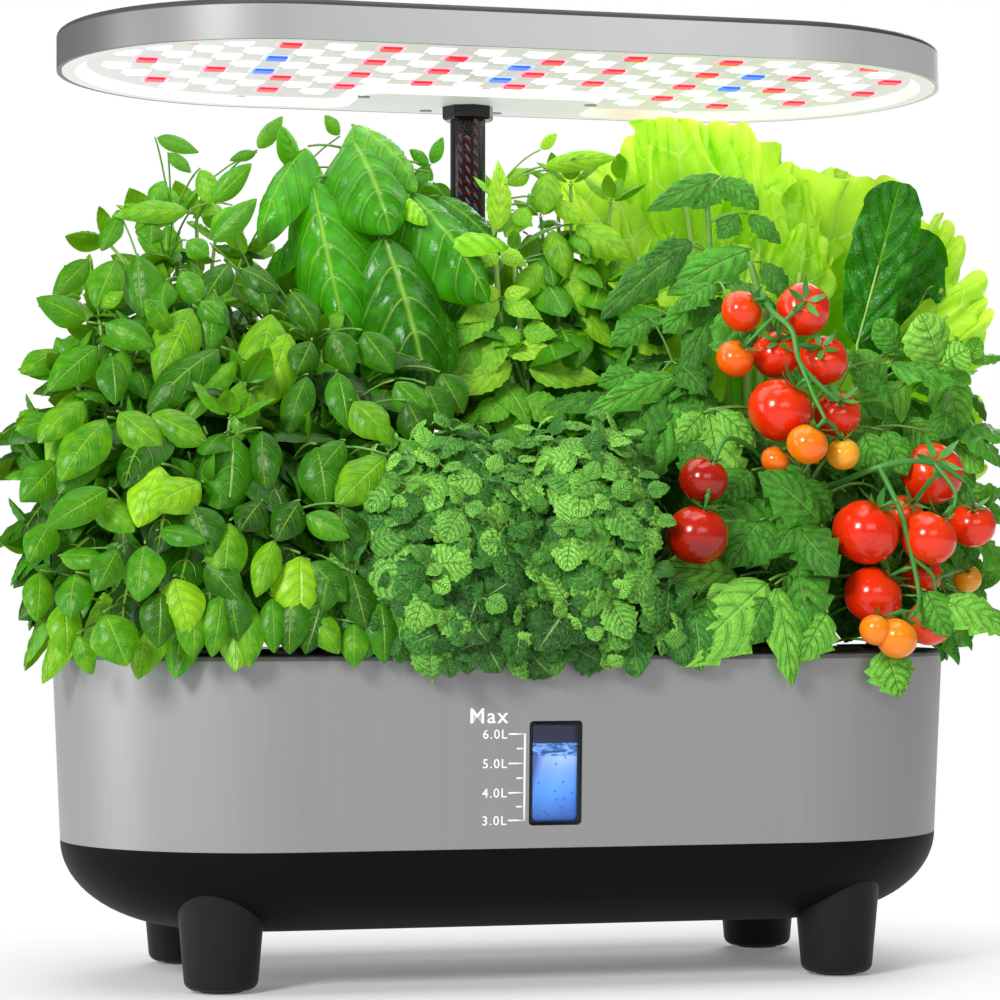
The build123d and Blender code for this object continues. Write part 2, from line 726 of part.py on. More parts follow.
with BuildPart() as led_board:
    with BuildSketch(Plane.XY.offset(BEZEL_TOP)):
        add(lamp_opening(BEZEL_SLOPE - BOARD_MARGIN, BEZEL_TOP))
    extrude(amount=BOARD_T)
save(led_board.part, "led_board")

# LEDs stand in staggered rows; row 0 is the front one, and places count from the left
LED_ROW_YS = [(n - (LED_ROWS - 1) / 2) * LED_ROW_PITCH for n in range(LED_ROWS)]
RED_LEDS = {
    0: (-7, -5, -3, 2, 4, 7),
    1: (-2, 0),
    2: (-3, 2, 4, 6, 8),
    3: (-8, -2, 0),
    4: (-6, -3, 2, 4, 6, 8),
    5: (-5, -2, 0),
    6: (-7, -3, 4, 7),
    7: (-5, 5),
}
BLUE_LEDS = {2: (-5, 0, 5), 4: (-5, 0, 5)}


def led_places():
    """Every LED's row, number and place that fits in the lit opening."""
    room = OPENING_R - BEZEL_SLOPE - LED_EDGE_GAP
    places = []
    for row, y in enumerate(LED_ROW_YS):
        stagger = 0.5 if row % 2 else 0.0
        for number in range(-10, 11):
            x = (number + stagger) * LED_PITCH
            corner_x = max(0.0, abs(x) + LED_W / 2 - LAMP_HALF)
            corner_y = abs(y) + LED_D / 2
            plate_front = PLATE_FRONT - BEZEL_SLOPE - LED_EDGE_GAP
            plate_side = PLATE_W / 2 + BEZEL_SLOPE + LED_EDGE_GAP
            on_plate = y + LED_D / 2 > plate_front and abs(x) - LED_W / 2 < plate_side
            if (corner_x**2 + corner_y**2) ** 0.5 < room and not on_plate:
                places.append((row, number, x, y))
    return places


def led_group(places, name):
    """One colour of LED packages under the board."""
    with BuildPart() as group:
        with Locations([(x, y, BEZEL_TOP) for _, _, x, y in places]):
            Box(LED_W, LED_D, LED_T, align=(Align.CENTER, Align.CENTER, Align.MAX))
    save(group.part, name)


all_leds = led_places()
red_places = [led for led in all_leds if led[1] in RED_LEDS.get(led[0], ())]
blue_places = [led for led in all_leds if led[1] in BLUE_LEDS.get(led[0], ())]
white_places = [led for led in all_leds if led not in red_places + blue_places]
led_group(white_places, "white_leds")
led_group(red_places, "red_leds")
led_group(blue_places, "blue_leds")

# ---------------------------------------------------------------- buttons and electronics
BUTTON_FLANGE_TOP = LAMP_CEILING - BUTTON_FLANGE_GAP
for button_name, (button_x, button_y) in zip(("power_button", "mode_button"), BUTTON_PLACES):
    with BuildPart() as button:
        with Locations((button_x, button_y, BUTTON_FLANGE_TOP)):
            Cylinder(
                BUTTON_R,
                BUTTON_FLANGE_GAP + LAMP_TOP + BUTTON_PROUD,
                align=(Align.CENTER, Align.CENTER, Align.MIN),
            )
            Cylinder(
                BUTTON_R + BUTTON_FLANGE,
                BUTTON_FLANGE_T,
                align=(Align.CENTER, Align.CENTER, Align.MAX),
            )
            Cylinder(
                BUTTON_STEM_R,
                BUTTON_FLANGE_T + BUTTON_STEM_L,
                align=(Align.CENTER, Align.CENTER, Align.MAX),
            )
        fillet(button.edges().group_by(Axis.Z)[-1], BUTTON_EDGE_R)
    save(button.part, button_name)

with BuildPart() as control_board:
    with Locations((0, BUTTON_Y, CONTROL_Z)):
        Box(
            CONTROL_W,
            CONTROL_D,
            CONTROL_T,
            align=(Align.CENTER, Align.CENTER, Align.MIN),
        )
    with Locations([(x, y, CONTROL_Z + CONTROL_T) for x, y in BUTTON_PLACES]):
        Box(
            SWITCH_SIDE,
            SWITCH_SIDE,
            SWITCH_T,
            align=(Align.CENTER, Align.CENTER, Align.MIN),
        )
save(control_board.part, "control_board")

with BuildPart() as dc_socket:
    with BuildSketch(Plane.XZ.offset(-LAMP_R - JACK_FLANGE_T)):
        with Locations((0, JACK_Z)):
            Circle(JACK_FLANGE_R)
    extrude(amount=JACK_FLANGE_T)
    with BuildSketch(Plane.XZ.offset(-LAMP_R)):
        with Locations((0, JACK_Z)):
            Circle(JACK_R)
    extrude(amount=JACK_L)
    with BuildSketch(Plane.XZ.offset(-LAMP_R - JACK_FLANGE_T)):
        with Locations((0, JACK_Z)):
            Circle(JACK_BORE_R)
    extrude(amount=JACK_DEPTH, mode=Mode.SUBTRACT)
    with BuildSketch(Plane.XZ.offset(-LAMP_R)):
        with Locations((0, JACK_Z)):
            Circle(JACK_PIN_R)
    extrude(amount=JACK_DEPTH)
save(dc_socket.part, "dc_socket")

# ---------------------------------------------------------------- pump
PUMP_TOP = PUMP_FOOT_Z + PUMP_H
PUMP_FACE = PUMP_Y - PUMP_D / 2
ROTOR_Z = PUMP_FOOT_Z + PUMP_H / 2
with BuildPart() as pump_housing:
    with BuildSketch(Plane.XY.offset(PUMP_FOOT_Z)):
        with Locations((0, PUMP_Y)):
            RectangleRounded(PUMP_W, PUMP_D, PUMP_CORNER)
    extrude(amount=PUMP_H)
    with BuildSketch(Plane.XY.offset(PUMP_TOP)):
        with Locations((-HANGER_X, PUMP_Y), (HANGER_X, PUMP_Y)):
            Circle(HANGER_R)
    extrude(amount=RIM_Z - PUMP_TOP)
    with BuildSketch(Plane.XZ.offset(-PUMP_FACE)):
        with Locations((0, ROTOR_Z)):
            Circle(ROTOR_WELL_R)
    extrude(amount=-ROTOR_WELL_L, mode=Mode.SUBTRACT)
    with BuildSketch(Plane.XZ.offset(-PUMP_FACE - ROTOR_WELL_L)):
        with Locations((0, ROTOR_Z)):
            Circle(ROTOR_SHAFT_R)
    extrude(amount=-SHAFT_SEAT, mode=Mode.SUBTRACT)
save(pump_housing.part, "pump_housing")

with BuildPart() as pump_shaft:
    with BuildSketch(Plane.XZ.offset(-PUMP_FACE + SHAFT_SEAT / 2)):
        with Locations((0, ROTOR_Z)):
            Circle(ROTOR_SHAFT_R)
    extrude(amount=-(ROTOR_WELL_L + 1.5 * SHAFT_SEAT))
save(pump_shaft.part, "pump_shaft")

ROTOR_FRONT = PUMP_FACE + ROTOR_END_GAP
with BuildPart() as pump_impeller:
    with BuildSketch(Plane.XZ.offset(-ROTOR_FRONT)):
        with Locations((0, ROTOR_Z)):
            Circle(ROTOR_R)
    extrude(amount=-(VANE_H + ROTOR_L))
    with BuildSketch(Plane.XZ.offset(-ROTOR_FRONT)):
        with Locations((0, ROTOR_Z)):
            for vane in range(VANES):
                Rectangle(
                    VANE_R,
                    VANE_T,
                    rotation=vane * 360 / VANES,
                    align=(Align.MIN, Align.CENTER),
                )
    extrude(amount=-VANE_H)
    with BuildSketch(Plane.XZ.offset(-ROTOR_FRONT)):
        with Locations((0, ROTOR_Z)):
            Circle(ROTOR_SHAFT_R + ROTOR_SHAFT_FIT)
    extrude(amount=-(VANE_H + ROTOR_L), mode=Mode.SUBTRACT)
save(pump_impeller.part, "pump_impeller")

with BuildPart() as pump_cover:
    with BuildSketch(Plane.XZ.offset(-PUMP_FACE)):
        with Locations((0, ROTOR_Z)):
            RectangleRounded(PUMP_W - PUMP_CORNER, PUMP_H - PUMP_CORNER, PUMP_CORNER)
            with PolarLocations(VANE_R - 1.5, 3, start_angle=90):
                Circle(INTAKE_R, mode=Mode.SUBTRACT)
            Circle(ROTOR_SHAFT_R, mode=Mode.SUBTRACT)
    extrude(amount=PUMP_COVER_T)
save(pump_cover.part, "pump_cover")

# the pump's lead runs from its top, under the deck, up to the pole's foot
LEAD_TURN = 12.0
LEAD_LEVEL = RIM_Z - LEAD_TURN - LEAD_R - LIP_DROP / 2
with BuildPart() as pump_lead:
    with BuildLine(Plane.YZ) as pump_lead_path:
        FilletPolyline(
            (PUMP_Y, PUMP_TOP),
            (PUMP_Y, LEAD_LEVEL),
            (POLE_Y, LEAD_LEVEL + LEAD_TURN / 2),
            (POLE_Y, DECK_TOP + LEAD_END),
            radius=LEAD_BEND_R,
        )
    with BuildSketch(Plane(origin=(0, PUMP_Y, PUMP_TOP), z_dir=(0, 0, 1))):
        Circle(LEAD_R)
    sweep()
save(pump_lead.part, "pump_lead")

# ---------------------------------------------------------------- plants
CANOPY_X = CANOPY_W / 2
CANOPY_Y = CANOPY_D / 2
ROW_EDGE = POD_ROW / 2
LEAF_FLOOR = DECK_TOP + CANOPY_FOOT
PLANT_FOOT = SPONGE_TOP + STEM_LIFT


def plant(name, pod, lean, radii, cell_x, cell_y):
    """A stem in its basket and a rounded crown, kept to the plant's own share of the deck."""
    crown = (pod[0] + lean[0], pod[1] + lean[1], DECK_TOP + lean[2])
    half_gap = CANOPY_GAP / 2
    low_x, high_x = cell_x
    low_y, high_y = cell_y
    with BuildPart() as share:
        with Locations(((low_x + high_x) / 2, (low_y + high_y) / 2, LEAF_FLOOR)):
            Box(
                high_x - low_x - 2 * half_gap,
                high_y - low_y - 2 * half_gap,
                LAMP_Z - LEAF_FLOOR,
                align=(Align.CENTER, Align.CENTER, Align.MIN),
            )
    across, up = radii
    with BuildPart() as body:
        with BuildSketch(Plane.XZ):
            with BuildLine():
                EllipticalCenterArc((0, crown[2]), across, up, start_angle=270, arc_size=180)
                Line((0, crown[2] + up), (0, crown[2] - up))
            make_face()
        revolve(axis=Axis.Z)
        body.part = body.part.moved(Location((crown[0], crown[1], 0)))
        add(share.part, mode=Mode.INTERSECT)
        with Locations((*pod, PLANT_FOOT)):
            Cylinder(
                STEM_R,
                crown[2] - PLANT_FOOT,
                align=(Align.CENTER, Align.CENTER, Align.MIN),
            )
    save(body.part, name)


LEFT_ROWS = (-CANOPY_X, -POD_PITCH)
RIGHT_ROWS = (POD_PITCH, CANOPY_X)
FRONT = (-CANOPY_Y, -ROW_EDGE)
MIDDLE = (-ROW_EDGE, ROW_EDGE)
REAR = (ROW_EDGE, CANOPY_Y)
END_X = 1.5 * POD_PITCH

# name, pod, crown's centre from the pod and above the deck, its radii (across, up),
# share of the deck in x and in y
PLANTS = [
    ("basil_front", PODS[0], (-4, 20, 18.5), (70, 126), LEFT_ROWS, FRONT),
    ("lemon_balm_left", PODS[1], (0, -9, 33.5), (58, 76), (-POD_PITCH, 0), FRONT),
    ("lemon_balm_right", PODS[2], (-7, -10, 34.5), (58, 74), (0, POD_PITCH), FRONT),
    ("tomato_front", PODS[3], (2, 14, 38.5), (66, 104), RIGHT_ROWS, FRONT),
    ("basil_end", PODS[4], (4, 4, 72.5), (62, 118), (-CANOPY_X, -END_X), MIDDLE),
    ("basil_middle", PODS[5], (14, 24, 134.5), (62, 114), (-END_X, -SHAFT_KEEP / 2), MIDDLE),
    ("tomato_middle", PODS[6], (4, -12, 136.5), (58, 98), (SHAFT_KEEP / 2, END_X), MIDDLE),
    ("chard_end", PODS[7], (5, 8, 94.5), (50, 122), (END_X, CANOPY_X), MIDDLE),
    ("basil_rear", PODS[8], (-4, -4, 116.5), (60, 122), LEFT_ROWS, REAR),
    ("large_basil", PODS[9], (-2, 6, 142.5), (53, 100), (-POD_PITCH, -POLE_KEEP / 2), REAR),
    ("mint", PODS[10], (10, 1, 122.5), (55, 114), (POLE_KEEP / 2, POD_PITCH), REAR),
    ("lettuce", PODS[11], (24, -12, 130.5), (80, 126), RIGHT_ROWS, REAR),
]
for plant_row in PLANTS:
    plant(*plant_row)
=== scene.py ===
import math

import bpy
import numpy as np
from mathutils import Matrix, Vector


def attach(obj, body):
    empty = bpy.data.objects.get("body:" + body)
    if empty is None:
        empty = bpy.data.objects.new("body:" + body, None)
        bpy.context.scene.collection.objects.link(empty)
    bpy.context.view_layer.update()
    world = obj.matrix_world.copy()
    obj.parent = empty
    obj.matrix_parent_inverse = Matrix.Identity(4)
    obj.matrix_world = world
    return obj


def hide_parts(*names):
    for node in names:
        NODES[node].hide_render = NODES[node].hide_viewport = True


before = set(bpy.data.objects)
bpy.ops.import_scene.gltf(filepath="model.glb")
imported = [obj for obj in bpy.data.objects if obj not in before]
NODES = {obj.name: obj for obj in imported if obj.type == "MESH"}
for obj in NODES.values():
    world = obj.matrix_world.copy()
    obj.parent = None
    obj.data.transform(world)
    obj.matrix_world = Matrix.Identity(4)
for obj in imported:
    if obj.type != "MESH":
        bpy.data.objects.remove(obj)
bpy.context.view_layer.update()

MM = 0.001
RIM_Z = 152.5
DECK_Z = 155.5  # top of the deck
LAMP_Z = 432.0  # face of the lamp's bezel
LID_Z = 447.6  # where the lamp's side turns graphite
POLE_Y = 80.0
END_X, END_R = 120.0, 100.0  # centre and radius of the tank's round ends
WALL_Y, WALL_LEAN = -100.0, math.radians(2.38)  # front wall at the rim, and its lean
PODS = {
    "basil_front": (-144, -56),
    "lemon_balm_left": (-48, -56),
    "lemon_balm_right": (48, -56),
    "tomato_front": (144, -56),
    "basil_end": (-192, 0),
    "basil_middle": (-96, 0),
    "tomato_middle": (96, 0),
    "chard_end": (192, 0),
    "basil_rear": (-144, 56),
    "large_basil": (-48, 56),
    "mint": (48, 56),
    "lettuce": (144, 56),
}
GOLDEN_TURN = 2.39996
VEIN_SLANT, VEIN_CURVE = 0.36, 1.5  # how side veins run towards a leaf's tip
# the front view, for placing a thing where a thousandth of the picture shows it
EYE_PLACE, EYE_TURN = (-0.3795, -1.5441, 0.186), -0.241
EYE_COS, EYE_SIN = 0.9711, 0.23867
EYE_AWAY = 1590.05  # from the eye to the origin along the view, in millimetres
EYE_Z, HORIZON_PY = 186.0, 587.0
FOCAL_PX, MIDDLE_PX = 3250.0, 505.0
LEAF_PX = 0.485  # millimetres that a leaf's width takes for one picture thousandth


# ---------------------------------------------------------------- materials


class Look:
    """One material, written node by node."""

    def __init__(self, name):
        self.material = bpy.data.materials.new(name)
        self.material.use_nodes = True
        self.tree = self.material.node_tree
        self.tree.nodes.clear()

    def put(self, socket, value):
        if isinstance(value, bpy.types.NodeSocket):
            self.tree.links.new(value, socket)
        else:
            socket.default_value = value

    def node(self, kind, settings=None, **sockets):
        made = self.tree.nodes.new("ShaderNode" + kind)
        for key, value in (settings or {}).items():
            setattr(made, key, value)
        for key, value in sockets.items():
            place = int(key[1:]) if key[0] == "i" and key[1:].isdigit() else key.replace("_", " ")
            self.put(made.inputs[place], value)
        return made

    def math(self, operation, a, b=0.0, c=None, clamp=False):
        sockets = {"i0": a, "i1": b}
        if c is not None:
            sockets["i2"] = c
        return self.node("Math", {"operation": operation, "use_clamp": clamp}, **sockets).outputs[0]

    def scaled(self, value, times, plus, clamp=False):
        return self.math("MULTIPLY_ADD", value, times, plus, clamp)

    def falling(self, value, slope):
        """One at nothing, and down to nothing at a slope."""
        return self.math("SUBTRACT", 1.0, self.math("MULTIPLY", value, slope), clamp=True)

    def split(self, vector):
        parts = self.node("SeparateXYZ", i0=vector).outputs
        return parts["X"], parts["Y"], parts["Z"]

    def place(self):
        return self.split(self.node("TexCoord").outputs["Object"])

    def facing(self):
        return self.split(self.node("NewGeometry").outputs["Normal"])

    def kept(self, name):
        """The three numbers that a mesh keeps at each of its points."""
        return self.split(self.node("Attribute", {"attribute_name": name}).outputs["Vector"])

    def noise(self, scale, detail=3.0, roughness=0.55, distortion=0.0, vector=None):
        where = vector or self.node("TexCoord").outputs["Object"]
        sizes = {"Scale": scale, "Detail": detail, "Roughness": roughness, "Distortion": distortion}
        return self.node("TexNoise", Vector=where, **sizes).outputs["Fac"]

    def ramp(self, factor, stops):
        made = self.node("ValToRGB", Fac=factor)
        band = made.color_ramp
        band.interpolation = "LINEAR"
        while len(band.elements) < len(stops):
            band.elements.new(0.5)
        for element, (place, colour) in zip(band.elements, stops):
            element.position = place
            element.color = (*colour, 1.0)
        return made.outputs["Color"]

    def tone(self, factor, dark, light):
        """A soft change between two near colours."""
        return self.ramp(factor, [(0.3, dark), (0.7, light)])

    def shade(self, factor, stops):
        """A ramp of greys."""
        return self.ramp(factor, [(place, (level,) * 3) for place, level in stops])

    def mix(self, factor, a, b, blend="MIX"):
        made = self.node("Mix", {"data_type": "RGBA", "blend_type": blend})
        for place, value in ((0, factor), (6, a), (7, b)):
            self.put(made.inputs[place], (*value, 1.0) if isinstance(value, tuple) else value)
        return made.outputs[2]

    def bump(self, height, strength, distance):
        return self.node("Bump", Height=height, Strength=strength, Distance=distance).outputs["Normal"]

    def principled(self, **sockets):
        for key in ("Base_Color", "Emission_Color"):
            if isinstance(sockets.get(key), tuple):
                sockets[key] = (*sockets[key], 1.0)
        return self.node("BsdfPrincipled", **sockets).outputs[0]

    def blend(self, share, first, second):
        return self.finish(self.node("MixShader", i0=share, i1=first, i2=second).outputs[0])

    def finish(self, shader):
        out = self.node("OutputMaterial")
        self.tree.links.new(shader, out.inputs["Surface"])
        return self.material

    def paint(self, **sockets):
        return self.finish(self.principled(**sockets))


def plastic(
    name, colour, roughness, grain=900.0, relief=0.12, tint=0.06, metal=0.0, coat=0.0, painted_glow=0.0, level=0.5
):
    """Moulded plastic, paint or metal: a fine grain, a slow change of tone and any painted glow, which parts
    that are no lamps may be given.
    """
    look = Look(name)
    fine = look.noise(grain, 2.0)
    dark = tuple(c * (1 - tint) for c in colour)
    light = tuple(min(1.0, c * (1 + tint)) for c in colour)
    tone = look.tone(look.noise(14.0), dark, light)
    return look.paint(
        Base_Color=tone,
        Roughness=look.scaled(fine, 0.10, roughness - 0.05),
        Metallic=metal,
        Coat_Weight=coat,
        Coat_Roughness=0.12,
        Specular_IOR_Level=level,
        Emission_Color=tone,
        Emission_Strength=painted_glow,
        Normal=look.bump(fine, relief, 0.0002),
    )


def sleeve_look():
    """Satin silver-grey paint with a faint upright grain, as drawn along the wall."""
    look = Look("satin_sleeve")
    where = look.node("TexCoord").outputs["Object"]
    long_grain = look.node("Mapping", Vector=where, Scale=(260.0, 260.0, 3.0)).outputs[0]
    streaks = look.noise(1.0, vector=long_grain)
    return look.paint(
        Base_Color=look.tone(streaks, (0.290, 0.290, 0.292), (0.300, 0.300, 0.302)),
        Roughness=look.scaled(streaks, 0.03, 0.40),
        Metallic=0.45,
        Normal=look.bump(look.noise(1400.0, 2.0), 0.06, 0.0001),
    )


def deck_look():
    """Black deck; its outer skirt is the sleeve's darker grey."""
    look = Look("deck_plastic")
    top = look.math("GREATER_THAN", look.facing()[2], 0.5)
    above = look.math("GREATER_THAN", look.place()[2], (DECK_Z + 0.2) * MM)
    fine = look.noise(1100.0, 2.0)
    slow = look.noise(18.0)
    skirt = look.tone(slow, (0.105, 0.105, 0.108), (0.125, 0.125, 0.128))
    plate = look.tone(slow, (0.010, 0.010, 0.011), (0.016, 0.016, 0.017))
    return look.paint(
        Base_Color=look.mix(look.math("MAXIMUM", top, above), skirt, plate),
        Roughness=look.scaled(fine, 0.1, 0.36),
        Normal=look.bump(fine, 0.1, 0.0002),
    )


# painted shade along the lamp's side: how bright its grey is, along the half metre from x -250 to x 250, dark
# at the left end
SIDE_PAINTED_SHADE = (
    (0.0, 0.15), (0.10, 0.165), (0.135, 0.27), (0.22, 0.39), (0.30, 0.48), (0.60, 0.625), (0.80, 0.625),
    (0.86, 0.82), (0.92, 1.0),
)


def housing_look():
    """Grey lamp housing with painted shade that darkens its side towards the left end; its top edge and top
    are graphite.
    """
    look = Look("lamp_shell")
    across, _, height = look.place()
    top = look.math("GREATER_THAN", height, LID_Z * MM)
    slow = look.noise(10.0)
    fine = look.noise(1200.0, 2.0)
    side = look.tone(slow, (0.70, 0.70, 0.708), (0.74, 0.74, 0.748))
    # painted shade: the side's grey darkened towards the left end
    shade = look.shade(look.scaled(across, 2.0, 0.5, clamp=True), SIDE_PAINTED_SHADE)
    lid = look.tone(slow, (0.060, 0.060, 0.063), (0.080, 0.080, 0.084))
    return look.paint(
        Base_Color=look.mix(top, look.mix(1.0, side, shade, "MULTIPLY"), lid),
        Roughness=look.scaled(fine, 0.08, 0.34),
        Specular_IOR_Level=look.scaled(top, -0.35, 0.5),
        Metallic=0.2,
        Normal=look.bump(fine, 0.06, 0.0001),
    )


def glow(name, centre, edge, strength):
    """A lit package with a fine phosphor mottle."""
    look = Look(name)
    colour = look.ramp(look.noise(500.0, 2.0), [(0.25, edge), (0.75, centre)])
    return look.paint(
        Base_Color=edge, Roughness=0.35, Emission_Color=colour, Emission_Strength=strength
    )


def lens_look():
    """Clear moulded lens, faintly uneven."""
    look = Look("clear_lens")
    fine = look.noise(60.0, 2.0)
    glass = look.principled(
        Base_Color=(0.96, 0.98, 1.0),
        Roughness=look.scaled(fine, 0.02, 0.01),
        Transmission_Weight=1.0,
        IOR=1.3,
        Normal=look.bump(fine, 0.02, 0.0002),
    )
    clear = look.node("BsdfTransparent", Color=(0.97, 0.98, 1.0, 1.0)).outputs[0]
    return look.blend(0.25, clear, glass)


def smoked_look():
    """Smoked clear tube: dark towards its edges, open enough in the middle to show the wires."""
    look = Look("smoked_tube")
    facing = look.node("LayerWeight", Blend=0.35).outputs["Facing"]
    body = look.principled(
        Base_Color=(0.055, 0.055, 0.06),
        Roughness=look.scaled(look.noise(90.0, 2.0), 0.05, 0.10),
        Coat_Weight=0.6,
        Coat_Roughness=0.05,
    )
    tint = look.ramp(facing, [(0.0, (0.36, 0.36, 0.37)), (0.75, (0.06, 0.06, 0.065))])
    clear = look.node("BsdfTransparent", Color=tint).outputs[0]
    return look.blend(look.shade(facing, [(0.0, 0.05), (0.8, 0.65)]), clear, body)


def sponge_look():
    """Dark, coarse peat."""
    look = Look("peat_sponge")
    coarse = look.noise(420.0, 6.0, 0.7)
    tone = look.ramp(coarse, [(0.35, (0.012, 0.009, 0.007)), (0.65, (0.075, 0.055, 0.04))])
    return look.paint(Base_Color=tone, Roughness=0.92, Normal=look.bump(coarse, 0.8, 0.0015))


def board_look():
    """White-lacquered board with a painted glow on it, faintly pink, for the LEDs' light falling on it."""
    look = Look("led_board_white")
    fine = look.noise(900.0, 2.0)
    tone = look.tone(look.noise(25.0), (0.56, 0.56, 0.57), (0.60, 0.60, 0.61))
    return look.paint(
        Base_Color=tone,
        Roughness=look.scaled(fine, 0.06, 0.42),
        # painted glow: the board gives a faint pinkish light of its own
        Emission_Color=look.mix(0.5, tone, (1.0, 0.86, 0.90)),
        Emission_Strength=0.42,
        Normal=look.bump(fine, 0.02, 0.0001),
    )


def bezel_look():
    """Pale bezel with painted glow: its face glows faintly, and its inner slope is paler and glows with the
    LEDs' light, pink in patches.
    """
    look = Look("bezel_pale")
    level = look.math("ABSOLUTE", look.facing()[2])
    slope = look.math("MULTIPLY", look.math("SUBTRACT", 0.97, level), 20.0, clamp=True)
    stops = [(0.53, (1.0, 0.97, 0.96)), (0.64, (1.0, 0.66, 0.70)), (0.74, (1.0, 0.25, 0.34))]
    lit = look.ramp(look.noise(17.0, 1.0), stops)
    fine = look.noise(900.0, 2.0)
    face = look.tone(fine, (0.60, 0.595, 0.60), (0.63, 0.625, 0.63))
    return look.paint(
        # painted light: the slope's colour paler and its glow stronger than the face's
        Base_Color=look.mix(slope, face, (0.80, 0.78, 0.78)),
        Roughness=look.scaled(fine, 0.06, 0.34),
        Emission_Color=look.mix(slope, face, lit),
        Emission_Strength=look.scaled(slope, 0.20, 0.50),
        Normal=look.bump(fine, 0.03, 0.0002),
    )


def glare_look():
    """Painted glare: a glowing square round each LED, white, or magenta and violet round the red and blue
    ones.
    """
    look = Look("led_glare")
    across, along, kind = look.kept("tile")
    reach = look.math("MAXIMUM", look.math("ABSOLUTE", across), look.math("ABSOLUTE", along))
    edge = look.math("ADD", reach, look.math("MULTIPLY", look.noise(240.0), 0.06))
    white = look.ramp(edge, [(0.55, (1.0, 0.98, 0.97)), (1.0, (0.80, 0.80, 0.82))])
    pink = look.ramp(edge, [(0.35, (0.95, 0.06, 0.16)), (1.0, (0.95, 0.42, 0.60))])
    blue = look.ramp(edge, [(0.35, (0.10, 0.30, 0.95)), (1.0, (0.55, 0.66, 0.98))])
    red_kind = look.math("COMPARE", kind, 1.0, 0.3)
    blue_kind = look.math("COMPARE", kind, 2.0, 0.3)
    colour = look.mix(blue_kind, look.mix(red_kind, white, pink), blue)
    return look.paint(
        Base_Color=colour, Roughness=0.3, Emission_Color=colour, Emission_Strength=0.75
    )


def water_look():
    """Water seen through the window, with painted light: the air above painted dark as shade, a rippled
    surface, blue water painted darker towards the bottom, a painted diagonal reflection, bubbles and a faint
    painted glow.
    """
    look = Look("window_water")
    pane = look.node("Attribute", {"attribute_name": "pane"}).outputs["Vector"]
    across, up, _ = look.split(pane)
    # painted shade: the water darker towards the bottom
    depth = look.ramp(
        up,
        [
            (0.00, (0.020, 0.075, 0.30)),
            (0.30, (0.070, 0.25, 0.66)),
            (0.52, (0.15, 0.31, 0.74)),
            (0.655, (0.28, 0.41, 0.85)),
        ],
    )
    # painted reflection: a pale diagonal band across the window
    reflection_band = look.math("SUBTRACT", look.math("MULTIPLY", across, 0.9), look.math("MULTIPLY", up, 0.55))
    light = look.ramp(
        look.math("ADD", reflection_band, 0.25, clamp=True),
        [
            (0.0, (0.20, 0.24, 0.34)),
            (0.16, (0.9, 0.95, 1.0)),
            (0.5, (1.15, 1.15, 1.1)),
            (1.0, (0.8, 0.85, 1.0)),
        ],
    )
    water = look.mix(1.0, depth, light, "MULTIPLY")
    stretched = look.node("Mapping", Vector=pane, Scale=(2.2, 13.0, 1.0)).outputs[0]
    ripple = look.noise(1.6, 4.0, 0.6, 1.6, vector=stretched)
    waves = look.ramp(
        ripple,
        [(0.38, (0.012, 0.045, 0.16)), (0.50, (0.05, 0.16, 0.45)), (0.60, (0.22, 0.42, 0.85))],
    )
    in_waves = look.math("GREATER_THAN", look.scaled(ripple, 0.035, up), 0.685)
    colour = look.mix(in_waves, water, waves)
    spots = look.node("Mapping", Vector=pane, Scale=(5.5, 10.5, 1.0)).outputs[0]
    flat = {"feature": "F1", "voronoi_dimensions": "2D"}
    cells = look.node("TexVoronoi", flat, Vector=spots, Scale=1.0).outputs
    near = look.math("LESS_THAN", cells["Distance"], 0.13)
    chance = look.node("SeparateColor", i0=cells["Color"]).outputs[0]
    bubble = look.math("MULTIPLY", near, look.math("GREATER_THAN", chance, 0.62))
    colour = look.mix(look.math("MULTIPLY", bubble, 0.7), colour, (0.02, 0.06, 0.20))
    # painted shade: the air above the water dark navy, for the tank's unlit inside
    air = look.ramp(up, [(0.80, (0.006, 0.011, 0.040)), (1.0, (0.002, 0.004, 0.016))])
    colour = look.mix(look.math("GREATER_THAN", up, 0.80), colour, air)
    # painted glow: the water's colour also glows faintly
    return look.paint(
        Base_Color=colour, Roughness=0.5, Emission_Color=colour, Emission_Strength=0.30
    )


